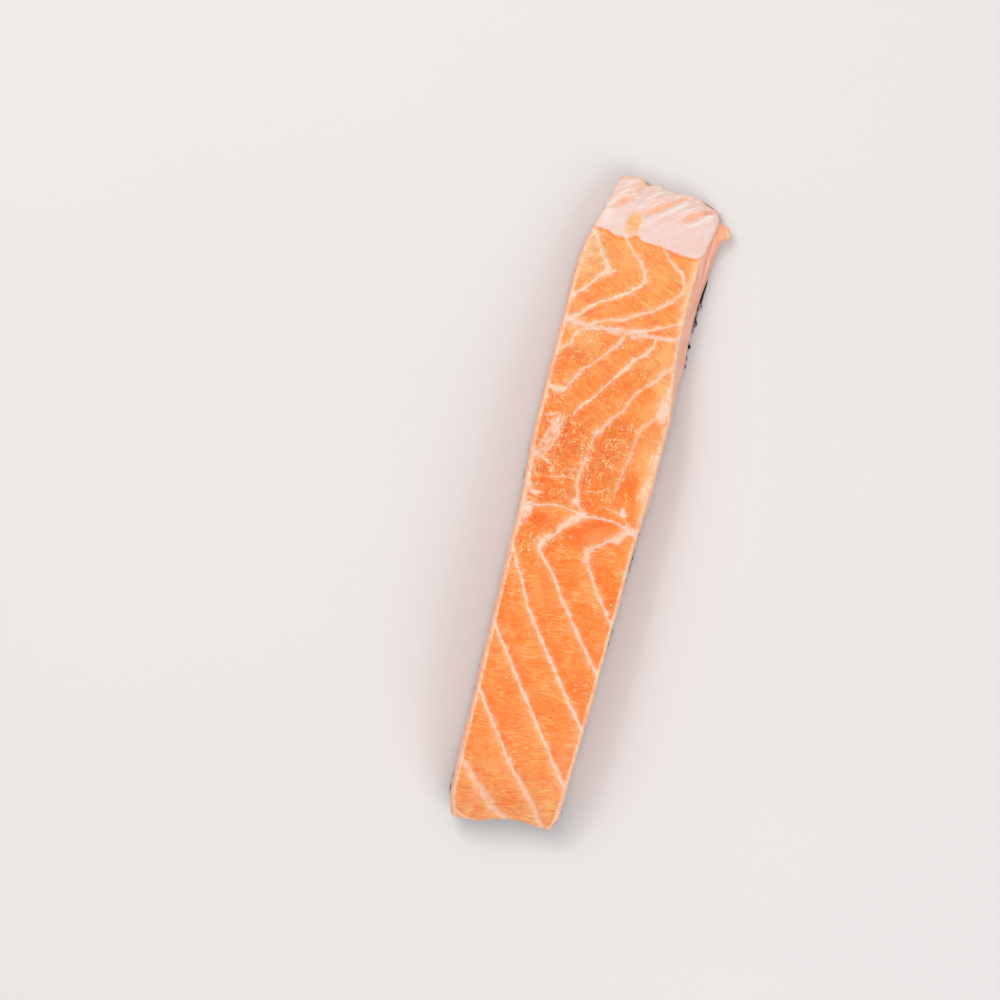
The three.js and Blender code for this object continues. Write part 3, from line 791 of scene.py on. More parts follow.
@dataclass
class SurfaceGrid:
    """Points in rows round a closed form, with what each one tells its finish."""

    x: Array
    y: Array
    z: Array
    traits: dict[Trait, Array] = field(default_factory=dict)

    def normals(self) -> Array:
        """Find the outward direction at each point, from its neighbours.

        Returns:
            Unit vectors.
        """
        points = np.stack([self.x, self.y, self.z], axis=-1)
        along = np.gradient(points, axis=0)
        round_ring = np.roll(points, -1, axis=1) - np.roll(points, 1, axis=1)
        outward = np.cross(round_ring, along)
        length = np.linalg.norm(outward, axis=-1, keepdims=True)
        return outward / np.maximum(length, 1e-9)

    def push(self, height: Array) -> None:
        """Move each point outwards by its own height, in millimetres."""
        moved = self.normals() * height[..., None]
        self.x, self.y, self.z = self.x + moved[..., 0], self.y + moved[..., 1], self.z + moved[..., 2]

    def extended(self, back: tuple[Array, ...], belly: tuple[Array, ...]) -> "SurfaceGrid":
        """Add rows of points at both ends.

        Args:
            back: x, y and z of the rows at the back, from the form outwards.
            belly: The same at the belly.

        Returns:
            The longer grid, without traits.
        """
        runs = zip(back, (self.x, self.y, self.z), belly)
        return SurfaceGrid(*(np.concatenate([low[::-1], body, high]) for low, body, high in runs))

    def closed(self, on_line: Array, rings: int) -> "SurfaceGrid":
        """Close both ends with rings that shrink towards the middle and keep to the end's own line.

        Args:
            on_line: Which columns the end's line runs through, from left to right.
            rings: How many rings each end gets.

        Returns:
            The longer grid, without traits.
        """
        shares = np.arange(rings, 0, -1)[:, None] / (rings + 1)
        caps = []
        for row in (0, -1):
            x, y, z = self.x[row], self.y[row], self.z[row]
            middle_x, middle_z = (x.max() + x.min()) / 2, (z.max() + z.min()) / 2
            near_x = middle_x + (x - middle_x) * shares
            near_y = np.interp(near_x, x[on_line], y[on_line])
            caps.append((near_x, near_y, middle_z + (z - middle_z) * shares))
        return self.extended(*caps)

    def piece(self, name: str, offset: Array, material: bpy.types.Material) -> bpy.types.Object:
        """Make the closed Blender mesh, with a fan of faces at each end.

        Args:
            name: The piece's name.
            offset: Added to every point, in millimetres.
            material: The finish.

        Returns:
            The new object, linked to the scene, with its points in metres.
        """
        rows, columns = self.x.shape
        points = np.stack([self.x, self.y, self.z], axis=-1) + offset
        tips = [points[0].mean(axis=0), points[-1].mean(axis=0)]
        verts = np.concatenate([points.reshape(-1, 3), tips]) * MM
        corner = np.arange((rows - 1) * columns).reshape(rows - 1, columns)
        after = np.roll(corner, -1, axis=1)
        quads = np.stack([corner, after, after + columns, corner + columns], axis=-1).reshape(-1, 4)
        first, last = np.arange(columns), np.arange(columns) + (rows - 1) * columns
        back_tip, belly_tip = rows * columns, rows * columns + 1
        back_fan = np.stack([np.full(columns, back_tip), np.roll(first, -1), first], axis=-1)
        belly_fan = np.stack([np.full(columns, belly_tip), last, np.roll(last, -1)], axis=-1)
        mesh = bpy.data.meshes.new(name)
        mesh.from_pydata(verts.tolist(), [], quads.tolist() + back_fan.tolist() + belly_fan.tolist())
        for trait, values in self.traits.items():
            self._store(mesh, trait, values)
        mesh.shade_smooth()
        mesh.materials.append(material)
        return in_scene(name, mesh)

    def _store(self, mesh: bpy.types.Mesh, trait: Trait, values: Array) -> None:
        """Keep one trait on the mesh; the two tips take the mean of the ring next to them.

        Args:
            mesh: The mesh.
            trait: Which trait it is.
            values: A number or a vector for each point of the grid.
        """
        flat = values.reshape(-1, *values.shape[2:])
        tips = np.stack([values[0].mean(axis=0), values[-1].mean(axis=0)])
        everything = np.concatenate([flat, tips]).astype(np.float32)
        kind, slot = ("FLOAT", "value") if values.ndim == 2 else ("FLOAT_VECTOR", "vector")
        mesh.attributes.new(trait.value, kind, "POINT").data.foreach_set(slot, everything.ravel())


@dataclass
class Bench:
    """Adds shader nodes to one material and wires them together."""

    material: bpy.types.Material

    @classmethod
    def start(cls, name: str) -> "Bench":
        """Start a new, empty material.

        Args:
            name: Its name.

        Returns:
            A bench for it.
        """
        material = bpy.data.materials.new(name)
        material.use_nodes = True
        material.node_tree.nodes.clear()
        return cls(material)

    def node(self, kind: str, inputs: dict[str | int, object], **settings: object) -> bpy.types.Node:
        """Add one node.

        Args:
            kind: The node's type name.
            inputs: Socket name or number, and the value or socket that feeds it.
            **settings: The node's own settings.

        Returns:
            The node.
        """
        made = self.material.node_tree.nodes.new(kind)
        for name, value in settings.items():
            setattr(made, name, value)
        for name, value in inputs.items():
            if isinstance(value, bpy.types.NodeSocket):
                self.material.node_tree.links.new(value, made.inputs[name])
            else:
                made.inputs[name].default_value = value
        return made

    def math(self, operation: str, first: object, second: object = 0.0, third: object = 0.0) -> Socket:
        """Return the result of a math node."""
        inputs = {0: first, 1: second, 2: third}
        return self.node("ShaderNodeMath", inputs, operation=operation).outputs[0]

    def trait(self, trait: Trait) -> Socket:
        """Return a number that the mesh carries."""
        return self.node("ShaderNodeAttribute", {}, attribute_name=trait.value).outputs["Fac"]

    def vector_trait(self, trait: Trait) -> Socket:
        """Return a vector that the mesh carries."""
        return self.node("ShaderNodeAttribute", {}, attribute_name=trait.value).outputs["Vector"]

    @cached_property
    def place(self) -> Socket:
        """Return the place on the object, in millimetres."""
        place = self.node("ShaderNodeTexCoord", {}).outputs["Object"]
        return self.stretch(place, (1 / MM,) * 3)

    @cached_property
    def up(self) -> Socket:
        """Return how far along the portion the place is, in millimetres."""
        return self.node("ShaderNodeSeparateXYZ", {0: self.place}).outputs[1]

    def stretch(self, vector: Socket, factors: tuple[float, float, float]) -> Socket:
        """Return a vector with each part multiplied."""
        inputs = {0: vector, 1: factors}
        return self.node("ShaderNodeVectorMath", inputs, operation="MULTIPLY").outputs[0]

    def noise(self, vector: Socket, size: float, detail: float = 2.0, roughness: float = 0.5) -> Socket:
        """Return noise around 0.5 whose humps are about size long."""
        inputs = {"Vector": vector, "Scale": 1 / size, "Detail": detail, "Roughness": roughness}
        return self.node("ShaderNodeTexNoise", inputs).outputs[0]

    def times(self, first: object, second: object) -> Socket:
        """Return the product of two numbers."""
        return self.math("MULTIPLY", first, second)

    def plus(self, first: object, second: object) -> Socket:
        """Return the sum of two numbers."""
        return self.math("ADD", first, second)

    def strands(
        self, place: Socket, width: float, length: float, detail: float = 2.0, roughness: float = 0.5
    ) -> Socket:
        """Return noise around 0.5 that is drawn out into strands.

        Args:
            place: Coordinates across and along the strands, in millimetres.
            width: About how wide a strand is.
            length: About how long it is.
            detail: How many finer layers are added.
            roughness: How strong the finer layers are.

        Returns:
            The noise.
        """
        return self.noise(self.stretch(place, (1 / width, 1 / length, 1.0)), 1.0, detail, roughness)

    def ease(
        self, value: Socket, low: float, high: float, start: object = 0.0, end: object = 1.0
    ) -> Socket:
        """Return start below low and end above high, with a smooth rise between."""
        inputs = {"Value": value, "From Min": low, "From Max": high, "To Min": start, "To Max": end}
        return self.node("ShaderNodeMapRange", inputs, interpolation_type="SMOOTHSTEP").outputs[0]

    def mix(self, share: object, below: object, above: object) -> Socket:
        """Return a colour between two."""
        below, above = ((*c, 1.0) if isinstance(c, tuple) else c for c in (below, above))
        return self.node("ShaderNodeMix", {0: share, 6: below, 7: above}, data_type="RGBA").outputs[2]

    def layers(self, colour: object, *rows: tuple) -> Socket:
        """Lay colours over one another, each where a value passes from low to high.

        Args:
            colour: The colour at the bottom.
            *rows: For each layer, the value, low, high, the greatest share, the layer's colour and,
                where something else scales its share, that number.

        Returns:
            The colour with all its layers.
        """
        for value, low, high, most, shade, *scales in rows:
            share = self.ease(value, low, high, 0.0, most)
            for scale in scales:
                share = self.times(share, scale)
            colour = self.mix(share, colour, shade)
        return colour

    def ramp(self, stops: Stops) -> Socket:
        """Return the colour of a ramp along the portion.

        Args:
            stops: The ramp's (place, colour) pairs.

        Returns:
            The colour.
        """
        share = self.math("MULTIPLY_ADD", self.up, 0.5 / HALF_LENGTH, 0.5)
        made = self.node("ShaderNodeValToRGB", {0: share})
        made.color_ramp.interpolation = "EASE"
        elements = made.color_ramp.elements
        places = [0.5 + place * 0.5 / HALF_LENGTH for place, _ in stops]
        for place in places[2:]:
            elements.new(place)
        for element, place, (_, colour) in zip(elements, places, stops):
            element.position = place
            element.color = (*colour, 1.0)
        return made.outputs[0]

    def bumps(self, height: Socket, depth: float, below: Socket | None = None) -> Socket:
        """Return a normal for fine relief.

        Args:
            height: Values from 0 to 1.
            depth: Height of the relief, in millimetres.
            below: The normal that it is added to, if any.

        Returns:
            The new normal.
        """
        inputs = {"Height": height, "Distance": depth * MM, "Strength": 1.0}
        if below is not None:
            inputs["Normal"] = below
        return self.node("ShaderNodeBump", inputs).outputs[0]

    def finish(self, **inputs: object) -> bpy.types.Material:
        """Wire the surface shader and return the material.

        Args:
            **inputs: Shader sockets, with underscores for the spaces in their names.

        Returns:
            The finished material.
        """
        named = {name.replace("_", " "): value for name, value in inputs.items()}
        shader = self.node("ShaderNodeBsdfPrincipled", named)
        self.node("ShaderNodeOutputMaterial", {"Surface": shader.outputs[0]})
        return self.material


@dataclass(frozen=True)
class FleshFinish:
    """Moist raw salmon: fibres and granules, pale septa and seams, the lining, and the cut sides, with
    some painted highlights and painted shade.
    """

    along: Stops = (
        (-96, srgb(254, 154, 94)),
        (-84, srgb(254, 148, 76)),
        (-60, srgb(255, 134, 48)),
        (-22, srgb(255, 130, 38)),
        (-12, srgb(255, 128, 26)),
        (-4, srgb(255, 128, 24)),
        (14, srgb(254, 124, 34)),
        (34, srgb(255, 134, 40)),
        (52, srgb(255, 147, 62)),
        (80, srgb(255, 158, 78)),
        (96, srgb(254, 156, 88)),
    )
    light: Colour = srgb(255, 188, 116)
    bright: Colour = srgb(255, 196, 122)
    deep: Colour = srgb(250, 100, 16)
    red: Colour = srgb(240, 84, 18)
    rosy: Colour = srgb(255, 138, 66)
    fat: Colour = srgb(255, 216, 188)
    back_fat: Colour = srgb(252, 200, 166)
    pale_fat: Colour = srgb(255, 214, 194)
    # The next two colours are painted highlights: the granules' gleam and the glints on the brightest
    # specks.
    gleam: Colour = srgb(255, 212, 150)
    glint_speck: Colour = srgb(255, 236, 214)
    # Painted highlight along the face's rim and on the tag.
    rim_highlight: Colour = srgb(255, 214, 178)
    side: Colour = srgb(255, 180, 156)
    side_warm: Colour = srgb(255, 170, 136)
    side_deep: Colour = srgb(246, 136, 112)
    side_brown: Colour = srgb(196, 132, 112)
    side_fat: Colour = srgb(255, 218, 200)
    lining: Colour = srgb(240, 211, 204)
    lining_warm: Colour = srgb(242, 201, 186)
    # Pale lining colour, which is also the painted highlight on the lining's streaks and ridges.
    lining_pale_and_highlight: Colour = srgb(253, 231, 224)
    lining_tint: Colour = srgb(255, 200, 156)
    valley: Colour = srgb(255, 188, 152)
    stain: Colour = srgb(250, 180, 116)
    stain_bright: Colour = srgb(254, 200, 156)
    cloud_size: float = 7.0
    mottle_size: float = 1.5
    fibre_size: tuple[float, float] = (1.1, 6.0)
    fine_fibre_size: tuple[float, float] = (0.28, 2.0)
    ridge_size: tuple[float, float] = (0.6, 6.0)
    side_streak_size: tuple[float, float] = (0.8, 12.0)
    side_band_size: tuple[float, float] = (3.0, 24.0)
    thread_share: float = 0.55
    cell_density: float = 0.9
    warp: float = 1.6
    granule_size: float = 0.75
    dot_size: float = 0.8
    dot_chance: float = 0.26
    line_wobble: float = 0.75
    halo_reach: float = 3.2
    halo_share: float = 0.3
    lining_turn: float = 36
    strand_relief: float = 0.14
    grit_relief: float = 0.55
    to_back_end: tuple[float, float] = (-82.0, -92.0)
    to_back_fat: tuple[float, float] = (-60.0, -88.0)
    to_lining_tip: tuple[float, float] = (82.0, 90.0)

    def muscle_colour(self, bench: Bench) -> Socket:
        """Make the orange of the muscle, with its zones, blocks, fibres and granules.

        Args:
            bench: Where the nodes go.

        Returns:
            The colour.
        """
        place, tone, coarse = bench.place, bench.trait(Trait.TONE), bench.trait(Trait.COARSE)
        cloud = bench.noise(place, self.cloud_size)
        block = bench.math("FRACT", bench.trait(Trait.SEPTUM_COUNT))
        colour = bench.layers(
            bench.ramp(self.along),
            (tone, 0.0, 1.2, 0.95, self.light),
            (tone, 0.0, -1.0, 0.8, self.deep),
            (cloud, 0.5, 0.7, 0.3, self.light),
            (cloud, 0.5, 0.3, 0.3, self.deep),
            (block, 0.55, 0.95, 0.22, self.light),
            (block, 0.4, 0.08, 0.22, self.deep),
        )
        colour = self.grain(bench, coarse, colour)
        patch = bench.noise(bench.stretch(place, (1.4, 0.7, 1.0)), 1.1, 4.0, 0.66)
        spread = bench.trait(Trait.PALE_PATCH)
        frayed = bench.plus(spread, bench.math("MULTIPLY_ADD", patch, 2.2, -1.1))
        torn = bench.ease(frayed, 0.3, 1.3, 0.0, 0.92)
        torn = bench.times(torn, bench.ease(spread, 0.02, 0.25))
        colour = bench.mix(torn, colour, self.pale_fat)
        # The rim along both edges of the face and on the tag: a ragged painted highlight.
        edge = bench.noise(bench.stretch(place, (1.0, 0.55, 1.0)), 0.9, 4.0, 0.68)
        ragged = bench.ease(edge, 0.38, 0.6, 0.35, 1.0)
        return bench.mix(bench.times(bench.trait(Trait.RIM), ragged), colour, self.rim_highlight)

    def grain(self, bench: Bench, coarse: Socket, colour: Socket) -> Socket:
        """Lay the fine grain over the muscle's colour.

        Args:
            bench: Where the nodes go.
            coarse: How coarse the grain is there, from 0 to 1.
            colour: The colour below it.

        Returns:
            The colour with mottles, fibres, cell outlines, and specks of painted highlight and painted
            shade.
        """
        mottle = bench.noise(bench.place, self.mottle_size, 4.0, 0.65)
        fibre = bench.vector_trait(Trait.FIBRE)
        shown = bench.ease(bench.noise(bench.place, 5.5, 2.0), 0.4, 0.6, 0.2, 1.0)
        plain = bench.times(shown, bench.ease(coarse, 0.2, 0.7, 1.0, 0.2))
        strands = bench.strands(fibre, *self.fibre_size, 1.0)
        hair = bench.ease(bench.math("ABSOLUTE", bench.math("SUBTRACT", strands, 0.5)), 0.05, 0.005)
        lively = bench.ease(bench.trait(Trait.TONE), -0.8, -0.1, 0.25, 1.0)
        banded = bench.times(lively, bench.ease(bench.up, *self.to_back_end, 1.0, 1.6))
        colour = bench.layers(
            colour,
            (mottle, 0.52, 0.68, 0.4, self.rosy, coarse),
            (mottle, 0.47, 0.32, 0.5, self.red, coarse),
            (strands, 0.46, 0.3, 0.3, self.deep, banded),
        )
        threads = bench.times(plain, hair)
        threads = bench.times(threads, bench.times(banded, self.thread_share))
        colour = bench.mix(threads, colour, self.bright)
        fine = bench.strands(fibre, *self.fine_fibre_size)
        colour = bench.layers(
            colour,
            (fine, 0.54, 0.68, 0.3, self.bright, banded),
            (fine, 0.46, 0.32, 0.25, self.deep, banded),
        )
        return self.granules(bench, coarse, colour)

    def granules(self, bench: Bench, coarse: Socket, colour: Socket) -> Socket:
        """Scatter crinkled granules, thick where the grain is coarse: painted highlights with painted
        shade beside them, and a few specks of painted glint.

        Args:
            bench: Where the nodes go.
            coarse: How coarse the grain is, from 0 to 1.
            colour: The colour below them.

        Returns:
            The colour with the granules' painted highlights and painted shade.
        """
        place = bench.place
        push = {"Vector": place, "Scale": self.cell_density, "Detail": 3.0}
        pushed = bench.stretch(bench.node("ShaderNodeTexNoise", push).outputs[1], (self.warp,) * 3)
        warped = bench.node("ShaderNodeVectorMath", {0: pushed, 1: place}, operation="ADD").outputs[0]
        patchy = bench.ease(bench.noise(place, 3.0, 3.0, 0.6), 0.44, 0.6)
        gathered = bench.times(bench.ease(coarse, 0.0, 0.9), bench.ease(patchy, 0.0, 1.0, 0.25, 1.0))
        cells = {"Vector": warped, "Scale": self.cell_density}
        cell = bench.node("ShaderNodeTexVoronoi", cells, feature="DISTANCE_TO_EDGE")
        crinkle = bench.noise(warped, self.granule_size, 2.0, 0.7)
        dim = bench.ease(bench.trait(Trait.TONE), 0.2, 0.8, 0.85, 0.2)
        colour = bench.layers(
            colour,
            (cell.outputs["Distance"], 0.12, 0.02, 0.5, self.bright, gathered),
            # Red crinkles beside the pale ones are painted shade; the pale crinkles are painted
            # highlights.
            (crinkle, 0.45, 0.37, dim, self.red, gathered),
            (crinkle, 0.55, 0.61, 0.95, self.gleam, gathered),
        )
        # A few picked dots, near white: painted glints.
        dots = bench.node("ShaderNodeTexVoronoi", {"Vector": warped, "Scale": 1 / self.dot_size})
        chance = bench.node("ShaderNodeSeparateXYZ", {0: dots.outputs["Color"]}).outputs[0]
        picked = bench.math("LESS_THAN", chance, bench.ease(gathered, 0.1, 1.0, 0.0, self.dot_chance))
        return bench.layers(colour, (dots.outputs["Distance"], 0.42, 0.15, 0.9, self.glint_speck, picked))

    def lines(self, bench: Bench) -> tuple[Socket, Socket]:
        """Find where the septa and the seams show.

        Args:
            bench: Where the nodes go.

        Returns:
            How much pale septum, and how much pale seam, there is.
        """
        made, place = [], bench.place
        wave = bench.noise(place, 1.7, 4.0, 0.62)
        wobble = bench.math("MULTIPLY_ADD", wave, 2 * self.line_wobble, -self.line_wobble)
        uneven = bench.ease(bench.noise(place, 2.0, 3.0, 0.6), 0.34, 0.64, 0.55, 1.45)
        septum, seam = (Trait.SEPTUM_OFFSET, Trait.SEPTUM_WIDTH), (Trait.SEAM_OFFSET, Trait.SEAM_WIDTH)
        for offset, width in (septum, seam):
            distance = bench.math("ABSOLUTE", bench.plus(bench.trait(offset), wobble))
            ratio = bench.math("DIVIDE", distance, bench.times(bench.trait(width), uneven))
            core = bench.ease(ratio, 1.25, 0.5)
            halo = bench.ease(ratio, self.halo_reach, 0.8, 0.0, self.halo_share)
            made.append(bench.math("MAXIMUM", core, halo))
        broken = bench.ease(bench.noise(place, 2.4, 3.0), 0.34, 0.5, 0.7, 1.0)
        strength = bench.times(bench.trait(Trait.SEPTUM_STRENGTH), broken)
        return bench.times(made[0], strength), made[1]

    def side_colour(self, bench: Bench) -> Socket:
        """Make the colour of the long cut sides, duller towards the skin.

        Args:
            bench: Where the nodes go.

        Returns:
            The colour.
        """
        fibre = bench.vector_trait(Trait.FIBRE)
        streaks = bench.strands(fibre, *self.side_streak_size, 4.0, 0.62)
        bands = bench.strands(fibre, *self.side_band_size)
        colour = bench.mix(bench.ease(bands, 0.4, 0.6), self.side_warm, self.side)
        above = bench.trait(Trait.ABOVE_SKIN)
        return bench.layers(
            colour,
            (streaks, 0.5, 0.66, 0.7, self.side_fat),
            (streaks, 0.48, 0.34, 0.7, self.side_deep),
            (above, 2.2, 0.3, 0.45, self.side_brown),
            (above, 0.5, 0.1, 0.7, self.side_fat),
        )

    def lining_colour(self, bench: Bench) -> Socket:
        """Make the colour of the belly lining, orange where it dips into a fold, with painted highlights
        along its streaks and ridges.

        Args:
            bench: Where the nodes go.

        Returns:
            The colour.
        """
        place = bench.place
        turn = {"Vector": place, "Angle": -math.radians(self.lining_turn)}
        turned = bench.node("ShaderNodeVectorRotate", turn).outputs[0]
        streak = bench.strands(turned, 8, 0.9, 3.0, 0.6)
        cloud = bench.noise(place, 4.0, 3.0)
        upper = bench.ease(bench.up, *self.to_lining_tip, 0.3, 1.0)
        grainy = bench.noise(place, 0.5, 2.0)
        fray = bench.noise(bench.stretch(turned, (0.4, 1.3, 1.0)), 0.8, 4.0)
        frayed = bench.math("MULTIPLY_ADD", fray, 1.0, -0.5)
        fold = bench.plus(bench.trait(Trait.FOLD), frayed)
        ridge = bench.plus(bench.trait(Trait.RIDGE), bench.times(frayed, 0.4))
        colour = bench.layers(
            self.lining,
            (cloud, 0.4, 0.62, 0.6, self.lining_warm),
            # Paler streaks along the folds and paler ridges: partly painted highlight.
            (streak, 0.52, 0.64, 0.7, self.lining_pale_and_highlight, upper),
            (streak, 0.48, 0.34, 0.4, self.valley, upper),
            (grainy, 0.5, 0.7, 0.25, self.lining_pale_and_highlight),
            (grainy, 0.5, 0.3, 0.18, self.valley),
            (bench.trait(Trait.TINT), 0.05, 0.9, 0.85, self.lining_tint),
            (fold, 0.1, 0.9, 0.9, self.valley),
            (ridge, 0.06, 0.36, 0.85, self.lining_pale_and_highlight),
        )
        blotch = bench.ease(bench.noise(place, 1.2, 3.0), 0.45, 0.65)
        stain = bench.mix(blotch, self.stain, self.stain_bright)
        return bench.mix(bench.trait(Trait.STAIN), colour, stain)

    def build(self) -> bpy.types.Material:
        """Wire the flesh's finish.

        Returns:
            The material.
        """
        bench = Bench.start("raw_salmon_flesh")
        place, cut = bench.place, bench.trait(Trait.CUT_SIDE)
        colour = bench.mix(cut, self.muscle_colour(bench), self.side_colour(bench))
        line, seam = self.lines(bench)
        fat = bench.mix(bench.ease(bench.up, *self.to_back_fat), self.fat, self.back_fat)
        colour = bench.mix(bench.times(line, bench.ease(cut, 0.0, 1.0, 0.95, 0.5)), colour, fat)
        colour = bench.mix(bench.times(seam, bench.ease(cut, 0.0, 1.0, 0.9, 0.3)), colour, self.pale_fat)
        frayed = bench.math("MULTIPLY_ADD", bench.noise(place, 1.1, 3.0), 1.0, -0.5)
        inside = bench.plus(bench.trait(Trait.LINING), frayed)
        # A darker orange line just under the lining's lip: painted shadow.
        from_edge = bench.math("ABSOLUTE", bench.plus(inside, 0.5))
        colour = bench.layers(colour, (from_edge, 0.6, 0.1, 0.25, self.deep))
        lined = bench.ease(inside, -0.25, 0.35)
        colour = bench.mix(lined, colour, self.lining_colour(bench))
        fibre = bench.vector_trait(Trait.FIBRE)
        strands = bench.strands(fibre, *self.ridge_size, 3.0, 0.6)
        normal = bench.bumps(strands, self.strand_relief)
        granules = bench.noise(place, 0.45, 2.0, 0.6)
        clustered = bench.ease(bench.noise(place, 3.4, 2.0), 0.42, 0.58, 0.35, 1.0)
        grit = bench.times(clustered, bench.ease(bench.trait(Trait.COARSE), 0.0, 1.0, 0.3, 1.0))
        bare = bench.ease(lined, 0.0, 1.0, 1.0, 0.15)
        height = bench.times(granules, bench.times(grit, bare))
        normal = bench.bumps(height, self.grit_relief, normal)
        return bench.finish(
            Base_Color=colour,
            Roughness=bench.ease(granules, 0.35, 0.65, 0.3, 0.5),
            Subsurface_Weight=0.15,
            Subsurface_Radius=(1.0, 0.35, 0.15),
            Subsurface_Scale=0.0005,
            Specular_IOR_Level=0.3,
            Coat_Weight=0.2,
            Coat_Roughness=0.08,
            Normal=normal,
        )


@dataclass(frozen=True)
class SkinFinish:
    """Wet scaled skin: blue-grey at the back, silver at the belly, near black with pale flecks at its cut
    edge, which is partly painted dark reflection and painted glints.
    """

    along: Stops = (
        (-96, srgb(34, 40, 46)),
        (-50, srgb(52, 60, 68)),
        (-5, srgb(74, 82, 88)),
        (40, srgb(104, 108, 112)),
        (66, srgb(158, 160, 162)),
        (96, srgb(206, 206, 204)),
    )
    pocket: Colour = srgb(26, 28, 32)
    glint: Colour = srgb(226, 230, 232)
    spot: Colour = srgb(18, 20, 22)
    # Near black at the cut edge is partly a painted dark reflection; the pale flecks there are painted
    # glints.
    dark_edge_and_reflection: Colour = srgb(15, 13, 15)
    edge_glint_fleck: Colour = srgb(170, 160, 158)
    sheen_share: float = 0.14
    scaly_edge_at: float = 60.8
    to_spots: tuple[float, float] = (10.0, -20.0)
    to_soft_rims: tuple[float, float] = (20.0, 80.0)
    to_plain_edge: tuple[float, float] = (65.5, 67.0)
    to_dark_edge: tuple[float, float] = (84.0, 74.0)
    scale_metal: tuple[float, float] = (0.15, 0.45)
    edge_metal: float = 0.8

    def build(self) -> bpy.types.Material:
        """Wire the skin's finish.

        Returns:
            The material.
        """
        bench = Bench.start("salmon_skin")
        place, up, tone = bench.place, bench.up, bench.trait(Trait.SCALE_TONE)
        sheen = bench.ease(bench.noise(place, 9.0, 2.0), 0.4, 0.6)
        on_rim = bench.ease(up, *self.to_soft_rims, 0.55, 0.35)
        on_back = bench.ease(up, *self.to_spots)
        colour = bench.layers(
            bench.ramp(self.along),
            (tone, 0.4, 1.0, self.sheen_share, self.glint, sheen),
            (bench.trait(Trait.SCALE_EDGE), 0.3, 0.0, 1.0, self.pocket, on_rim),
            (bench.noise(place, 11.0, 1.0), 0.68, 0.72, 1.0, self.spot, on_back),
        )
        # The cut edge: near black, partly a painted dark reflection on the silver skin, with pale flecks
        # that are painted glints.
        fleck = bench.noise(bench.stretch(place, (1.0, 0.6, 1.0)), 0.9, 3.0, 0.6)
        from_scaly = bench.math("ABSOLUTE", bench.math("SUBTRACT", up, self.scaly_edge_at))
        scaly = bench.ease(from_scaly, 6.0, 4.6, 0.0, 0.12)
        flecked = bench.ease(bench.plus(fleck, scaly), 0.56, 0.66)
        flecked = bench.times(flecked, bench.ease(up, *self.to_plain_edge, 1.0, 0.1))
        painted_edge_reflection = bench.mix(flecked, self.dark_edge_and_reflection, self.edge_glint_fleck)
        dark = bench.ease(up, *self.to_dark_edge, 0.1, 1.0)
        at_edge = bench.times(bench.trait(Trait.SKIN_EDGE), dark)
        colour = bench.mix(at_edge, colour, painted_edge_reflection)
        fine = bench.noise(place, 0.45, 3.0)
        metal = bench.ease(tone, 0.0, 1.0, *self.scale_metal)
        return bench.finish(
            Base_Color=colour,
            Metallic=bench.math("MAXIMUM", metal, bench.times(at_edge, self.edge_metal)),
            Roughness=bench.ease(fine, 0.3, 0.7, 0.24, 0.42),
            Coat_Weight=bench.ease(at_edge, 0.0, 1.0, 0.5, 0.05),
            Coat_Roughness=0.1,
            Normal=bench.bumps(fine, 0.12),
        )


@dataclass(frozen=True)
class FloorFinish:
    """A plain pale floor."""

    colour: Colour = srgb(230, 227, 226)
    shade: Colour = srgb(217, 215, 215)
    cloud_size: float = 90.0

    def build(self) -> bpy.types.Material:
        """Wire the floor's finish.

        Returns:
            The material.
        """
        bench = Bench.start("pale_floor")
        soft = bench.noise(bench.place, self.cloud_size, 1.0)
        colour = bench.layers(self.colour, (soft, 0.3, 0.7, 0.06, self.shade))
        return bench.finish(Base_Color=colour, Roughness=0.85, Specular_IOR_Level=0.2)


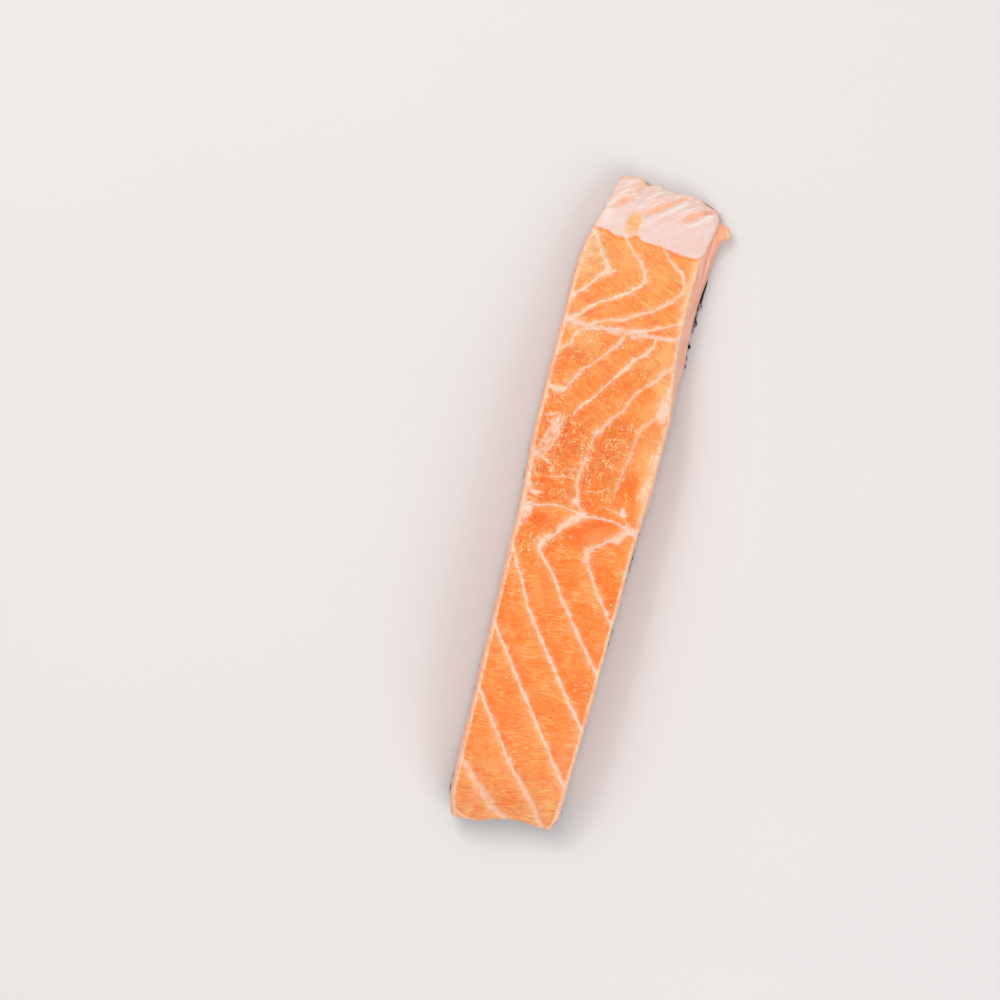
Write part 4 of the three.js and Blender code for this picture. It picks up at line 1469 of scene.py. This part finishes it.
@dataclass
class Flesh:
    """The flesh: upper cut face, two cut sides, two round ends and a flat base on the skin."""

    outline: Outline = field(default_factory=Outline)
    muscle: Muscle = field(default_factory=Muscle)
    lining: Lining = field(default_factory=Lining)
    finish: FleshFinish = field(default_factory=FleshFinish)
    spacing: float = 0.43
    face_columns: int = 86
    round_steps: int = 5
    flank_rows: int = 40
    base_columns: int = 10
    nose: float = 1.5
    nose_rings: int = 6
    nose_push: float = 1.75
    nose_turn: float = 82
    nose_fall: float = 1.4
    most_fall: float = 0.6
    cap_rings: int = 8
    block_crown: float = 0.3
    septum_depth: float = 0.14
    groove_reach: float = 0.8
    seam_depth: float = 0.2
    seam_crinkle: float = 0.25
    torn_crinkle: float = 0.14
    crinkle_size: float = 2.2
    grit_height: float = 0.1
    grit_size: float = 1.7
    grain_height: float = 0.05
    grain_size: float = 0.9
    strand_height: float = 0.04
    strand_size: tuple[float, float] = (0.9, 8)
    soft_height: float = 0.12
    soft_size: float = 7
    lining_cover: float = 0.85
    flank_line: float = 0.1
    flank_wave: float = 0.12
    flank_groove: float = 0.1
    flank_groove_reach: float = 0.5
    foot_fade: float = 1.2
    tag_place: tuple[float, float] = (20.2, 87)
    tag_reach: float = 3.2
    tag_rim: float = 0.75
    tag_face: float = 0.85
    tag_rise: float = 3
    rim_stretch: float = 1.4
    rim_least: float = 0.6
    rim_fray: float = 0.4
    middle_coarse: float = 0.55
    coarse_spread: float = 0.3
    least_coarse: float = 0.25
    lining_calm: float = 0.8
    line_reach: float = 2.7
    counted_width: float = 0.5
    counted_reach: float = 0.3
    counted_strength: float = 0.9
    drawn_below: float = -85.0
    tones: tuple[Patch, ...] = patches(
        (-16, 71, 3, 8, 1.2), (11.5, 75.5, 3.5, 2, 0.35), (13.8, 68, 1.6, 5, 1.1),
        (12.5, 62, 3, 3, 0.3), (-17, 55, 2, 3, 0.4), (-13.5, 53.6, 2.6, 1.0, -0.8, 40),
        (-3, 53.2, 3.5, 0.8, -0.8, 12), (9, 53.6, 4.5, 1.0, -0.6, 10), (-1, 60, 9, 2.0, -0.15, 30),
        (-10, 61, 5, 1.4, -0.2, 30), (-6, 73, 5, 5, 0.6), (6, 67, 6, 6, 0.3), (11.2, 48, 3.2, 4, 1.0),
        (-11, 46.5, 3.2, 3, 1.2), (7, 44.5, 2, 2, 0.4), (-3, 48.5, 1.4, 1.6, -0.6),
        (-8, 43.6, 1.8, 1.6, 0.4), (-14, 36, 2, 2.4, 0.45), (-3.6, 40, 1.6, 4, -0.6, 50),
        (4, 35.5, 1.4, 4, -0.5, 50), (14.0, 37.5, 2.8, 6, 1.0), (11.6, 41, 2.6, 3, 0.5, 45),
        (10, 31, 3, 6, 0.25, 20), (-14, 27.5, 3, 1.6, -0.3), (0, 29, 2, 3, -0.4, 50),
        (13, 20, 3.5, 8, 0.8), (15.4, 8, 2, 9, 0.8), (-14.4, 7, 2, 1.8, -0.9), (-14, 3.4, 2, 1.6, -0.8),
        (-12.4, 11.2, 1.2, 1.0, -0.9), (-9.5, 17.5, 2.2, 2.4, -0.7), (-2.4, 6.4, 0.9, 1.6, -0.9),
        (10, 8.5, 1.6, 2.2, -0.3), (11.5, 5.2, 1.6, 1.6, -0.2), (-10, -1.0, 5, 1.2, -0.6),
        (11, 2, 3, 4, 0.5), (0, 0, 2, 1.2, -0.5), (-10.5, -7, 4.5, 2.8, -1.3),
        (5, -6.4, 4.8, 3.6, -1.1, 35), (0, -9.5, 4, 2.6, -0.9), (-4, -14, 5, 3, 0.35),
        (10.5, -12, 3.5, 3.5, 0.55), (14.6, -7.5, 1.6, 2.4, 0.4), (11, -86, 4, 8, 0.45),
        (0, -90, 5, 4, -0.4),
    )
    coarse_spots: tuple[Patch, ...] = patches(
        (-15, 72, 3.5, 6, 0.6), (-14, 66, 3, 3, 0.4), (5.5, 56, 1.5, 1.5, 0.8),
        (-9, 48.5, 2.5, 2.5, 0.5), (-14, 41, 4, 3, 0.35), (5.5, 40, 4, 3, 0.3), (-15.5, 24, 3, 4, 0.4),
        (-17, 27.6, 2.5, 2, 0.4), (-9, 20, 4, 4, 0.6), (-9, 12, 4, 4, 0.7), (1.5, 19, 4.5, 4.5, 0.7),
        (1, 11, 5, 3, 0.6), (3.8, 20, 1.6, 3.2, 0.5), (-14.5, 7, 2.5, 2, 0.5), (-6.5, 2, 3, 1.5, 0.4),
        (-13.5, -14, 3.5, 5, 0.6), (-5, -12, 5, 4, 0.25), (12, 62, 4, 10, -0.2), (8, -4, 8, 4, -0.3),
        (10.8, 6, 2.6, 3.2, -0.6),
    )
    pale_patches: tuple[Patch, ...] = patches(
        (-14.6, 21.2, 2.8, 2.6, 0.8), (-14.2, 17.4, 1.6, 3.6, 0.7, -14), (-16.0, 14.4, 1.6, 2.4, 0.7),
        (-17.6, 11, 1.4, 1.8, 0.9), (-18.3, 5, 0.8, 5, 1.0), (-17.2, 2.2, 1.2, 1.4, 1.2),
        (-15.8, 0.1, 1.5, 0.9, 1.2), (-13.9, 0.4, 1.6, 0.45, 0.9, 8), (-16.2, -4.3, 1.8, 1.4, 1.2),
        (-17.2, -9, 1.2, 4.5, 0.9), (-3.2, 0.4, 1.4, 1.2, 1.4), (10.9, 1.1, 0.9, 1.5, 1.3),
        (11.5, -0.1, 1.3, 0.7, 1.2, -12), (16.6, 18, 1.0, 4, 0.8), (16.4, 10, 1.4, 4, 0.7),
        (15.2, 32, 2.6, 3.6, 1.2), (15.5, 38.6, 2.0, 4.6, 0.85), (14.9, 28.6, 1.3, 1.6, 0.5),
        (-16.4, 30.6, 2.4, 1.0, 0.8, -5), (-19, 28, 1.0, 1.6, 0.9), (1.2, 50.7, 1.7, 0.9, 1.1),
        (-5, 50.5, 2.0, 0.6, 0.9), (-10.8, 50.5, 3.6, 0.6, 0.85, 4), (-17.6, 51.4, 1.8, 0.9, 1.1),
        (-19.2, 58, 0.9, 2.2, 0.9), (-17, 70, 2.6, 7, 0.55), (-9.2, 68.1, 1.5, 0.8, 0.8),
        (-1.2, -4.6, 1.8, 1.0, 1.0, 30), (-15.4, -6.6, 1.3, 2.6, 0.7), (-8.8, -13.6, 1.2, 1.8, 0.6),
        (12.4, -6.4, 1.9, 1.0, 1.0, 38), (11.3, -8.0, 1.1, 0.8, 0.9), (4.2, -13.6, 1.1, 1.6, 0.6),
        (15.6, -10, 0.8, 3.0, 0.7), (14.8, -4.4, 1.9, 1.1, 0.9), (15.4, 7.6, 0.9, 2.6, 0.6),
    )
    # Widths of the painted rim highlight along the left and right edges.
    left_rim: Profile = Profile(
        ((-60, 0.5), (-20, 0.6), (0, 0.9), (8, 0.9), (16, 0.5), (40, 0.4), (60, 0.6), (67, 1.6),
         (76, 1.8), (80, 1.0))
    )
    right_rim: Profile = Profile(
        ((-60, 0.5), (-20, 0.6), (-12, 1.0), (0, 1.2), (5, 1.9), (14, 2.6), (24, 2.5), (30, 1.5),
         (40, 0.9), (50, 1.3), (60, 2.2), (78, 2.2))
    )

    def sections(self) -> dict[str, Array]:
        """Lay out the columns of a ring round the flesh.

        Returns:
            Each column's part, place across, turn round the edge, and way down its side.
        """
        turn = np.arange(1, self.round_steps + 1) / (self.round_steps + 1) * np.pi / 2
        down = np.linspace(0, 1, self.flank_rows + 1)
        across = np.linspace(-1, 1, self.face_columns + 1)
        base = np.linspace(1, -1, self.base_columns + 1)[1:-1]
        side_turn = np.concatenate([turn, np.full(down.size, np.pi / 2)])
        side_down = np.concatenate([np.zeros(turn.size), down])
        ones = np.ones(side_turn.size)
        sizes = [across.size, ones.size, base.size, ones.size]
        return {
            "part": np.repeat([part.value for part in Part], sizes),
            "across": np.concatenate([across, ones, base, -ones]),
            "turn": np.concatenate([0 * across, side_turn, 0 * base, side_turn[::-1]]),
            "down": np.concatenate([0 * across, side_down, 0 * base, side_down[::-1]]),
        }

    def form(self) -> tuple[SurfaceGrid, dict[str, Array]]:
        """Make the plain form and what the relief needs to know of each point.

        Returns:
            The grid, and arrays of its shape: side (0 on the face, 1 on a flank), depth below the
            face's edge, height above the skin, distances to both rims, place across, and body (0 on
            the end walls, 1 elsewhere).
        """
        form, ring = self.outline, self.sections()
        y = form.stations(self.spacing, self.nose)[:, None]
        part, across = ring["part"][None, :], ring["across"][None, :]
        turn, down = ring["turn"][None, :], ring["down"][None, :]
        left, right = form.limits(y)
        base = form.underside(y) + form.skin_thickness + form.layer_gap
        top = form.upper_face.at(y)
        radius = np.minimum(form.edge_round, (top - base) * 0.3)
        face_x = left + radius + (right - left - 2 * radius) * (across + 1) / 2
        level = top - form.crown * across**4 - form.tilt_to_right * across
        face_z = level + form.unevenness * form.uneven(face_x, y)
        edge = np.where(across < 0, left, right)
        slant = np.where(across < 0, form.left_slant.at(y), form.right_slant.at(y))
        edge_z = level + form.unevenness * form.uneven(edge, y) - radius
        halfway = np.sin(np.pi * down)
        swell = form.flank_swell * halfway * form.uneven(y, 9 * down * across)
        tag = form.tag.at(y) * halfway * (across > 0)
        side_x = edge + across * (slant * down + swell + tag - radius * (1 - np.sin(turn)))
        side_z = edge_z + radius * np.cos(turn) + (base - edge_z) * down
        base_left, base_right = left - form.left_slant.at(y), right + form.right_slant.at(y)
        base_x = base_left + (base_right - base_left) * (across + 1) / 2
        on_base = part == Part.BASE.value
        on_side = (part == Part.RIGHT.value) | (part == Part.LEFT.value)
        x = np.where(on_side, side_x, np.where(on_base, base_x, face_x))
        z = np.where(on_side, side_z, np.where(on_base, base, face_z))
        facts = {
            "side": np.where(on_side, turn / (np.pi / 2), on_base * 1.0),
            "depth": np.where(on_side, np.maximum(edge_z + radius * np.cos(turn) - side_z, 0), 0),
            "above": z - base,
            "to_right": np.where(on_side & (across > 0), 0, right - x),
            "to_left": np.where(on_side & (across < 0), 0, x - left),
            "across": across,
        }
        facts = {name: np.broadcast_to(values, x.shape) for name, values in facts.items()}
        return self.add_noses(SurfaceGrid(x, y + form.end_shift(y, across), z), facts)

    def add_noses(
        self, grid: SurfaceGrid, facts: dict[str, Array]
    ) -> tuple[SurfaceGrid, dict[str, Array]]:
        """Round both ends off with rings that draw in towards their middle, and close them.

        Args:
            grid: The form with open, square ends.
            facts: What the relief needs to know of each point.

        Returns:
            The longer grid and its facts.
        """
        turns = np.arange(1, self.nose_rings + 1) / self.nose_rings * np.radians(self.nose_turn)
        push, drawn = self.nose_push * np.sin(turns)[:, None], (1 - np.cos(turns))[:, None]
        ends = []
        for row, way in ((0, -1), (-1, 1)):
            x, y, z = grid.x[row], grid.y[row], grid.z[row]
            low, height = z.min(), z.max() - z.min()
            centre, reach = (x.max() + x.min()) / 2, (x.max() - x.min()) / 2
            thin_x = centre + (x - centre) * (1 - drawn * self.nose / reach)
            fall = min(self.nose * self.nose_fall / height, self.most_fall)
            thin_z = low + (z - low) * (1 - drawn * fall)
            ends.append((thin_x, y + way * push, thin_z))
        longer = lengthened(facts, self.nose_rings + self.cap_rings)
        row = np.arange(len(longer["side"]))[:, None]
        from_cap = np.minimum(row, row[::-1]) - self.cap_rings
        longer["body"] = smoothstep(from_cap + 0 * longer["side"], -0.5, 1.3 * self.nose_rings)
        return grid.extended(*ends).closed(facts["side"][0] == 0, self.cap_rings), longer

    def relief(self, grid: SurfaceGrid, facts: dict[str, Array]) -> Array:
        """Find the height of the flesh's own relief.

        Args:
            grid: The form, which already carries its traits.
            facts: What the relief needs to know of each point.

        Returns:
            One height for each point, in millimetres.
        """
        x, y, side = grid.x, grid.y, facts["side"]
        count = grid.traits[Trait.SEPTUM_COUNT]
        distance = np.abs(grid.traits[Trait.SEPTUM_OFFSET])
        strength = grid.traits[Trait.SEPTUM_STRENGTH]
        within = np.abs(2 * (count - np.floor(count)) - 1)
        groove = self.septum_depth * strength * bump(distance, self.groove_reach)
        blocks = self.block_crown * (1 - within**4) - groove
        crinkle = Grain(31).rough(x / self.crinkle_size, y / self.crinkle_size)
        pale = bump(grid.traits[Trait.SEAM_OFFSET] / (grid.traits[Trait.SEAM_WIDTH] + 0.3), 1.3)
        seams = pale * (self.seam_crinkle * crinkle - self.seam_depth)
        torn = self.torn_crinkle * grid.traits[Trait.PALE_PATCH] * crinkle
        lumps = self.grit_height * Grain(32).rough(x / self.grit_size, y / self.grit_size)
        grains = self.grain_height * Grain(33).at(x / self.grain_size, y / self.grain_size)
        grit = grid.traits[Trait.COARSE] * (lumps + grains)
        fibre, (wide, long) = grid.traits[Trait.FIBRE], self.strand_size
        strands = self.strand_height * Grain(34).at(fibre[..., 0] / wide, fibre[..., 1] / long)
        soft = self.soft_height * Grain(35).rough(x / self.soft_size, y / self.soft_size)
        on_face = blocks + (seams + torn) + grit + strands + soft
        lined = smoothstep(grid.traits[Trait.LINING], -0.6, 0.4)
        on_face = on_face * (1 - self.lining_cover * lined) + self.lining.relief(x, y)
        long_lines = self.flank_line * Grain(36).rough(y / 10, grid.z / 1.1)
        long_lines = long_lines + self.flank_wave * Grain(37).rough(y / 5, grid.z / 3)
        flank_groove = self.flank_groove * strength * bump(distance, self.flank_groove_reach)
        fade = smoothstep(facts["above"], 0.0, self.foot_fade) * facts["body"]
        return (on_face * (1 - side) + (long_lines - flank_groove) * side) * fade

    def add_traits(self, grid: SurfaceGrid, facts: dict[str, Array]) -> None:
        """Work out what each point tells the finish.

        Args:
            grid: The form, which gets the traits.
            facts: What the relief needs to know of each point.
        """
        x, y, side, traits = grid.x, grid.y, facts["side"], grid.traits
        to_belly, to_back = self.muscle.seams(x, y)
        face = 1 - smoothstep(side, 0.2, 0.9)
        way = np.sign(facts["across"])
        down_side = way * facts["depth"] / self.muscle.flank_pitch
        traits[Trait.SEPTUM_COUNT] = self.muscle.count(x, y) + down_side
        self.add_lines(grid, facts, face)
        middle_zone = smoothstep(to_belly, 1, -2) * smoothstep(to_back, -2, 2)
        in_middle = self.middle_coarse + self.coarse_spread * Grain(41).rough(x / 8, y / 8)
        in_middle = in_middle - 0.4 * smoothstep(x, 9, 14)
        in_middle = in_middle - 0.22 * smoothstep(y - 0.3 * x, 22, 28)
        spots = total(self.coarse_spots, x, y)
        coarse = np.maximum(middle_zone * (in_middle + spots), self.least_coarse + spots)
        traits[Trait.COARSE] = np.clip(coarse * (0.3 + 0.7 * face), 0, 1)
        traits[Trait.COARSE] *= 1 - self.lining_calm * smoothstep(self.lining.inside(x, y), -0.5, 0.3)
        traits[Trait.TONE] = total(self.tones, x, y) * face
        traits[Trait.PALE_PATCH] = np.clip(total(self.pale_patches, x, y), 0, 1.6) * face
        # The rim: a painted highlight along both edges of the face and on the tag.
        ragged = self.rim_least + self.rim_fray * Grain(42).rough(y / 2.2, x / 4)
        right_rim = smoothstep(facts["to_right"], self.rim_stretch * self.right_rim.at(y) + ragged, 0.0)
        left_rim = smoothstep(facts["to_left"], self.rim_stretch * self.left_rim.at(y) + ragged, 0.0)
        tag_x, tag_y = self.tag_place
        tag = bump(np.hypot(x - tag_x, y - tag_y), self.tag_reach)
        rims = np.maximum(right_rim, left_rim) * (1 - smoothstep(side, 0.7, 1.0))
        traits[Trait.RIM] = np.maximum(rims, self.tag_rim * tag)
        traits[Trait.CUT_SIDE] = smoothstep(side, 0.35, 0.95) * (1 - self.tag_face * tag)
        above = facts["above"] + 0.5 * Grain(43).at(y / 5, x)
        traits[Trait.ABOVE_SKIN] = above + self.tag_rise * tag
        over_edge = smoothstep(side, 0.35, 0.8)
        traits[Trait.LINING] = self.lining.inside(x, y) * (1 - over_edge) - 3 * over_edge
        traits[Trait.FOLD] = self.lining.valleys(x, y)
        traits[Trait.RIDGE] = total(self.lining.ridges, x, y)
        traits[Trait.STAIN] = self.lining.stained(x, y)
        traits[Trait.TINT] = total(self.lining.tints, x, y)
        fibre_across, fibre_along = self.muscle.fibre(x, y)
        on_flank = side > 0.7
        across = np.where(on_flank, traits[Trait.SEPTUM_COUNT] * self.muscle.flank_pitch, fibre_across)
        along = np.where(on_flank, y, fibre_along)
        traits[Trait.FIBRE] = np.stack([across, along, 0 * x], axis=-1)

    def add_lines(self, grid: SurfaceGrid, facts: dict[str, Array], face: Array) -> None:
        """Work out how far each point is from the nearest septum and from the nearest seam.

        Args:
            grid: The points, which already carry their count of septa.
            facts: What the relief needs to know of each point.
            face: 1 on the upper face, 0 on the flanks.
        """
        x, y, side, traits = grid.x, grid.y, facts["side"], grid.traits
        count = traits[Trait.SEPTUM_COUNT]
        steep = self.muscle.steepness(x, y)
        pitch = 1 / (steep * (1 - side) + np.hypot(1 / self.muscle.flank_pitch, steep) * side)
        counted = (count - np.round(count)) * pitch
        at_back_end = smoothstep(y, -70, -92)
        counted_width = self.counted_width * (1 + at_back_end) * (1 - 0.4 * side)
        drawn, drawn_width, strength = self.muscle.drawn(x, y)
        closer = np.abs(drawn) / drawn_width < np.abs(counted) / counted_width
        by_count = (side > 0.5) | ~(self.muscle.is_drawn(x, y) | (closer & (y < self.drawn_below)))
        traits[Trait.SEPTUM_OFFSET] = np.where(by_count, counted, drawn)
        traits[Trait.SEPTUM_WIDTH] = np.where(by_count, counted_width, drawn_width)
        reach = np.where(by_count, self.counted_reach * pitch, self.line_reach)
        near = smoothstep(np.abs(traits[Trait.SEPTUM_OFFSET]), reach, 0.7 * reach)
        traits[Trait.SEPTUM_STRENGTH] = near * np.where(by_count, self.counted_strength, strength)
        seam, seam_width = self.muscle.nearest_seam(x, y)
        traits[Trait.SEAM_OFFSET] = np.where(face > 0.02, np.clip(seam, -9, 9), 9.0)
        traits[Trait.SEAM_WIDTH] = seam_width * (0.3 + 0.7 * face)

    def build(self, offset: Array) -> bpy.types.Object:
        """Make the flesh in place of its solid.

        Args:
            offset: From the portion's own coordinates to the frame, in millimetres.

        Returns:
            The piece.
        """
        grid, facts = self.form()
        self.add_traits(grid, facts)
        grid.push(self.relief(grid, facts))
        piece = grid.piece("salmon_flesh", offset, self.finish.build())
        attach(piece, BODY)
        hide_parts("flesh")
        return piece


@dataclass
class Skin:
    """The skin: a thin sheet under the flesh, scaled below, with a crinkled cut edge."""

    outline: Outline = field(default_factory=Outline)
    finish: SkinFinish = field(default_factory=SkinFinish)
    spacing: float = 0.5
    under_columns: int = 84
    end_gap: float = 0.4
    scale_pitch: float = 3.2
    scale_overlap: float = 0.68
    left_frill: float = -0.25
    scale_height: float = 0.14
    scale_shift: float = 0.35
    crinkle: Profile = Profile(
        ((-96, 0.3), (54, 0.3), (57, 0.2), (64, 0.2), (66, 0.08), (73, 0.08), (76, 0.3))
    )
    cap_rings: int = 8
    right_frill: Profile = Profile(
        ((-60, -0.1), (-8, -0.1), (-5.5, -0.4), (-4.2, 0.1), (-3, -0.4), (0, -0.4), (1.6, 0.2),
         (3.2, -0.4), (28, -0.4), (31, -0.2), (33, -0.4), (45.6, -0.3), (47.2, 0.1), (48.1, -0.3),
         (49.3, 0.0), (50.4, -0.5), (51.4, -0.5), (52.2, 0.3), (53, 0.3), (53.9, -0.6), (56.2, -0.7),
         (57.4, 0.1), (58.2, -0.1), (59.4, 0.3), (60.9, -0.1), (61.6, -0.2), (62.6, -0.1), (63.4, -0.4),
         (64.2, 0.2), (65, 0.5), (65.9, 0.15), (66.8, 0.05), (69, 0.12), (72, 0.25), (73.4, 0.0),
         (75.4, -0.5), (84, -0.5), (87, -1.3), (96, -1.3))
    )
    curl: Profile = Profile(
        ((-96, 0.1), (-30, 0.15), (-8, 0.4), (14, 0.1), (46, 0.3), (60, 0.6), (68, 0.5), (74, 0.1),
         (96, 0.1))
    )

    def columns(self) -> tuple[Array, Array]:
        """Lay out the columns of a ring round the skin.

        Returns:
            Each column's place across, and 1 for the upper side or 0 for the underside.
        """
        half = np.array([0, 0.3, 0.6, 0.85, 0.91, 0.94, 0.96, 0.975, 0.99])
        upper = np.concatenate([-half[::-1], half[1:]])
        under = np.linspace(1, -1, self.under_columns + 1)
        across = np.concatenate([[-1.0], upper, [1.0], under[1:-1]])
        is_upper = np.concatenate([[0.5], np.ones(upper.size), [0.5], np.zeros(under.size - 2)])
        return across, is_upper

    def scales(self, x: Array, y: Array) -> tuple[Array, Array, Array]:
        """Lay overlapping scales, with their free edges towards +X.

        Args:
            x: Places towards the tail.
            y: Places across the scales' rows.

        Returns:
            Height within the scale, nearness to its rim (0 at the rim), and its own tone.
        """
        pitch, radius = self.scale_pitch, self.scale_pitch * self.scale_overlap
        row, column = np.round(y / (pitch * 0.5)), np.round(x / pitch)
        front = np.full(x.shape, 1e9)
        height, rim, tone = np.zeros(x.shape), np.zeros(x.shape), np.full(x.shape, 0.5)
        tones, shifts = Grain(51), Grain(54)
        for row_step in range(-2, 3):
            for column_step in range(-2, 3):
                r, c = row + row_step, column + column_step
                centre_y = r * pitch * 0.5 + self.scale_shift * shifts.at(r * 5.3, c * 6.1)
                centre_x = (c + 0.5 * (r % 2)) * pitch
                centre_x = centre_x + self.scale_shift * shifts.at(r * 3.9 + 40, c * 7.7)
                away = np.hypot(x - centre_x, (y - centre_y) * 1.1)
                covers = (away < radius) & (centre_x < front)
                front = np.where(covers, centre_x, front)
                height = np.where(covers, (x - centre_x + radius) / (2 * radius), height)
                rim = np.where(covers, (radius - away) / radius, rim)
                tone = np.where(covers, 0.5 + 0.5 * tones.at(r * 7.3, c * 5.1 + 0.5), tone)
        return height, rim, tone

    def build(self, offset: Array) -> bpy.types.Object:
        """Make the skin in place of its solid.

        Args:
            offset: From the portion's own coordinates to the frame, in millimetres.

        Returns:
            The piece.
        """
        form = self.outline
        across, is_upper = (values[None, :] for values in self.columns())
        y = form.stations(self.spacing, self.end_gap)[:, None]
        left, right = form.limits(y)
        low = left - form.left_slant.at(y) - form.left_margin.at(y) - form.margin_wave * form.uneven(y, 2)
        high = right + form.right_slant.at(y) + form.right_margin.at(y)
        high = high + form.margin_wave * form.uneven(y, 11)
        x = low + (high - low) * (across + 1) / 2
        along = y + form.end_shift(y, across)
        to_edge = np.minimum(x - low, high - x)
        at_edge = smoothstep(to_edge, 1.6, 0.0)
        frill = self.crinkle.at(y) * Grain(52).rough(y / 1.3, np.sign(across) * 5)
        frill = frill + np.where(across > 0, self.right_frill.at(y), self.left_frill)
        x = x + np.sign(across) * frill * at_edge
        lift = self.curl.at(y) * (0.6 + 0.6 * Grain(53).rough(y / 2.4, across)) * (across > 0)
        height, rim, tone = self.scales(x, along)
        z = form.underside(y) + form.skin_thickness * is_upper + np.maximum(lift, 0) * at_edge
        under_relief = self.scale_height * (1 - height) * (1 - is_upper)
        z = z + under_relief * smoothstep(to_edge, 0.2, 1.5)
        grid = SurfaceGrid(x, along, z).closed(is_upper[0] == 1, self.cap_rings)
        traits = {
            Trait.SCALE_EDGE: rim + is_upper,
            Trait.SCALE_TONE: tone,
            Trait.SKIN_EDGE: np.maximum(smoothstep(to_edge, 1.8, 0.4), is_upper + 0 * x),
        }
        grid.traits = lengthened(traits, self.cap_rings)
        piece = grid.piece("salmon_skin", offset, self.finish.build())
        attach(piece, BODY)
        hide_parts("skin")
        return piece


@dataclass(frozen=True)
class Lamp:
    """One square light that faces the portion, in metres and watts."""

    name: str
    place: tuple[float, float, float]
    side: float
    power: float
    colour: Colour

    def add(self) -> None:
        """Put the light in the scene."""
        data = bpy.data.lights.new(self.name, "AREA")
        data.shape, data.size, data.energy, data.color = "SQUARE", self.side, self.power, self.colour
        light = in_scene(self.name, data)
        light.location = self.place
        light.rotation_euler = (-Vector(self.place)).to_track_quat("-Z", "Y").to_euler()


@dataclass
class Studio:
    """The plain pale floor, the soft light and the camera that looks straight down."""

    view_x: float = -24.3
    view_y: float = -4.7
    turn: float = math.radians(14.6)
    lens: float = 155.0
    sensor: float = 36.0
    frame_width: float = 290.0
    top_height: float = 16.0
    world_strength: float = 0.53
    floor_half: float = 1.5
    floor_gap: float = 0.2
    floor: FloorFinish = field(default_factory=FloorFinish)
    lamps: tuple[Lamp, ...] = (
        Lamp("key", (-0.55, 0.4, 0.95), 0.7, 4.7, (1.0, 0.985, 0.965)),
        Lamp("fill", (0.66, -0.6, 0.82), 0.8, 5.3, (0.98, 0.99, 1.0)),
        Lamp("glint", (-0.44, 0.6, 0.9), 0.14, 1.2, (1.0, 1.0, 1.0)),
    )

    def add_camera(self, offset: Array) -> None:
        """Look straight down at the place that the middle of the picture shows.

        Args:
            offset: From the portion's own coordinates to the frame, in millimetres.
        """
        data = bpy.data.cameras.new("camera")
        data.lens, data.sensor_width = self.lens, self.sensor
        camera = in_scene("camera", data)
        distance = self.frame_width * self.lens / self.sensor + self.top_height
        camera.location = Vector((self.view_x + offset[0], self.view_y + offset[1], distance)) * MM
        camera.rotation_euler = (0, 0, self.turn)
        bpy.context.scene.camera = camera

    def add_floor(self) -> None:
        """Add the floor just under the skin."""
        half, down = self.floor_half, -self.floor_gap * MM
        mesh = bpy.data.meshes.new("floor")
        corners = [(-half, -half, down), (half, -half, down), (half, half, down), (-half, half, down)]
        mesh.from_pydata(corners, [], [(0, 1, 2, 3)])
        mesh.materials.append(self.floor.build())
        floor = in_scene("floor", mesh)

    def build(self, offset: Array) -> None:
        """Set up the camera, the lights, the floor and the plain white surroundings.

        Args:
            offset: From the portion's own coordinates to the frame, in millimetres.
        """
        scene = bpy.context.scene
        self.add_camera(offset)
        self.add_floor()
        for lamp in self.lamps:
            lamp.add()
        world = bpy.data.worlds.new("studio")
        world.use_nodes = True
        background = world.node_tree.nodes["Background"]
        background.inputs["Color"].default_value = (1.0, 1.0, 1.0, 1.0)
        background.inputs["Strength"].default_value = self.world_strength
        scene.world = world
        scene.view_settings.view_transform = "Standard"


def offset_to_frame(flesh: Flesh) -> Array:
    """Find what takes the portion's own coordinates to the frame.

    Args:
        flesh: The flesh, whose own solid shows where it belongs.

    Returns:
        The offset, in millimetres.
    """
    grid, _ = flesh.form()
    low, high = (np.array(corner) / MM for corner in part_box("flesh"))
    own_middle = np.array([grid.x.min() + grid.x.max(), grid.y.min() + grid.y.max()]) / 2
    middle = (low + high)[:2] / 2
    return np.array([*(middle - own_middle), 0.0])


def report(piece: bpy.types.Object) -> None:
    """Log one piece with its size and its number of triangles.

    Args:
        piece: The piece.
    """
    triangles = sum(len(face.vertices) - 2 for face in piece.data.polygons)
    size = [round(length / MM, 1) for length in piece.dimensions]
    LOG.info("%s: %s mm, %d triangles", piece.name, size, triangles)


def main() -> None:
    """Build the portion and its studio."""
    logging.basicConfig(level=logging.INFO, format="%(name)s %(message)s")
    flesh = Flesh()
    offset = offset_to_frame(flesh)
    LOG.info("offset to the frame: %s mm", np.round(offset, 2).tolist())
    for layer in (flesh, Skin()):
        report(layer.build(offset))
    Studio().build(offset)


if __name__ == "__main__":
    main()
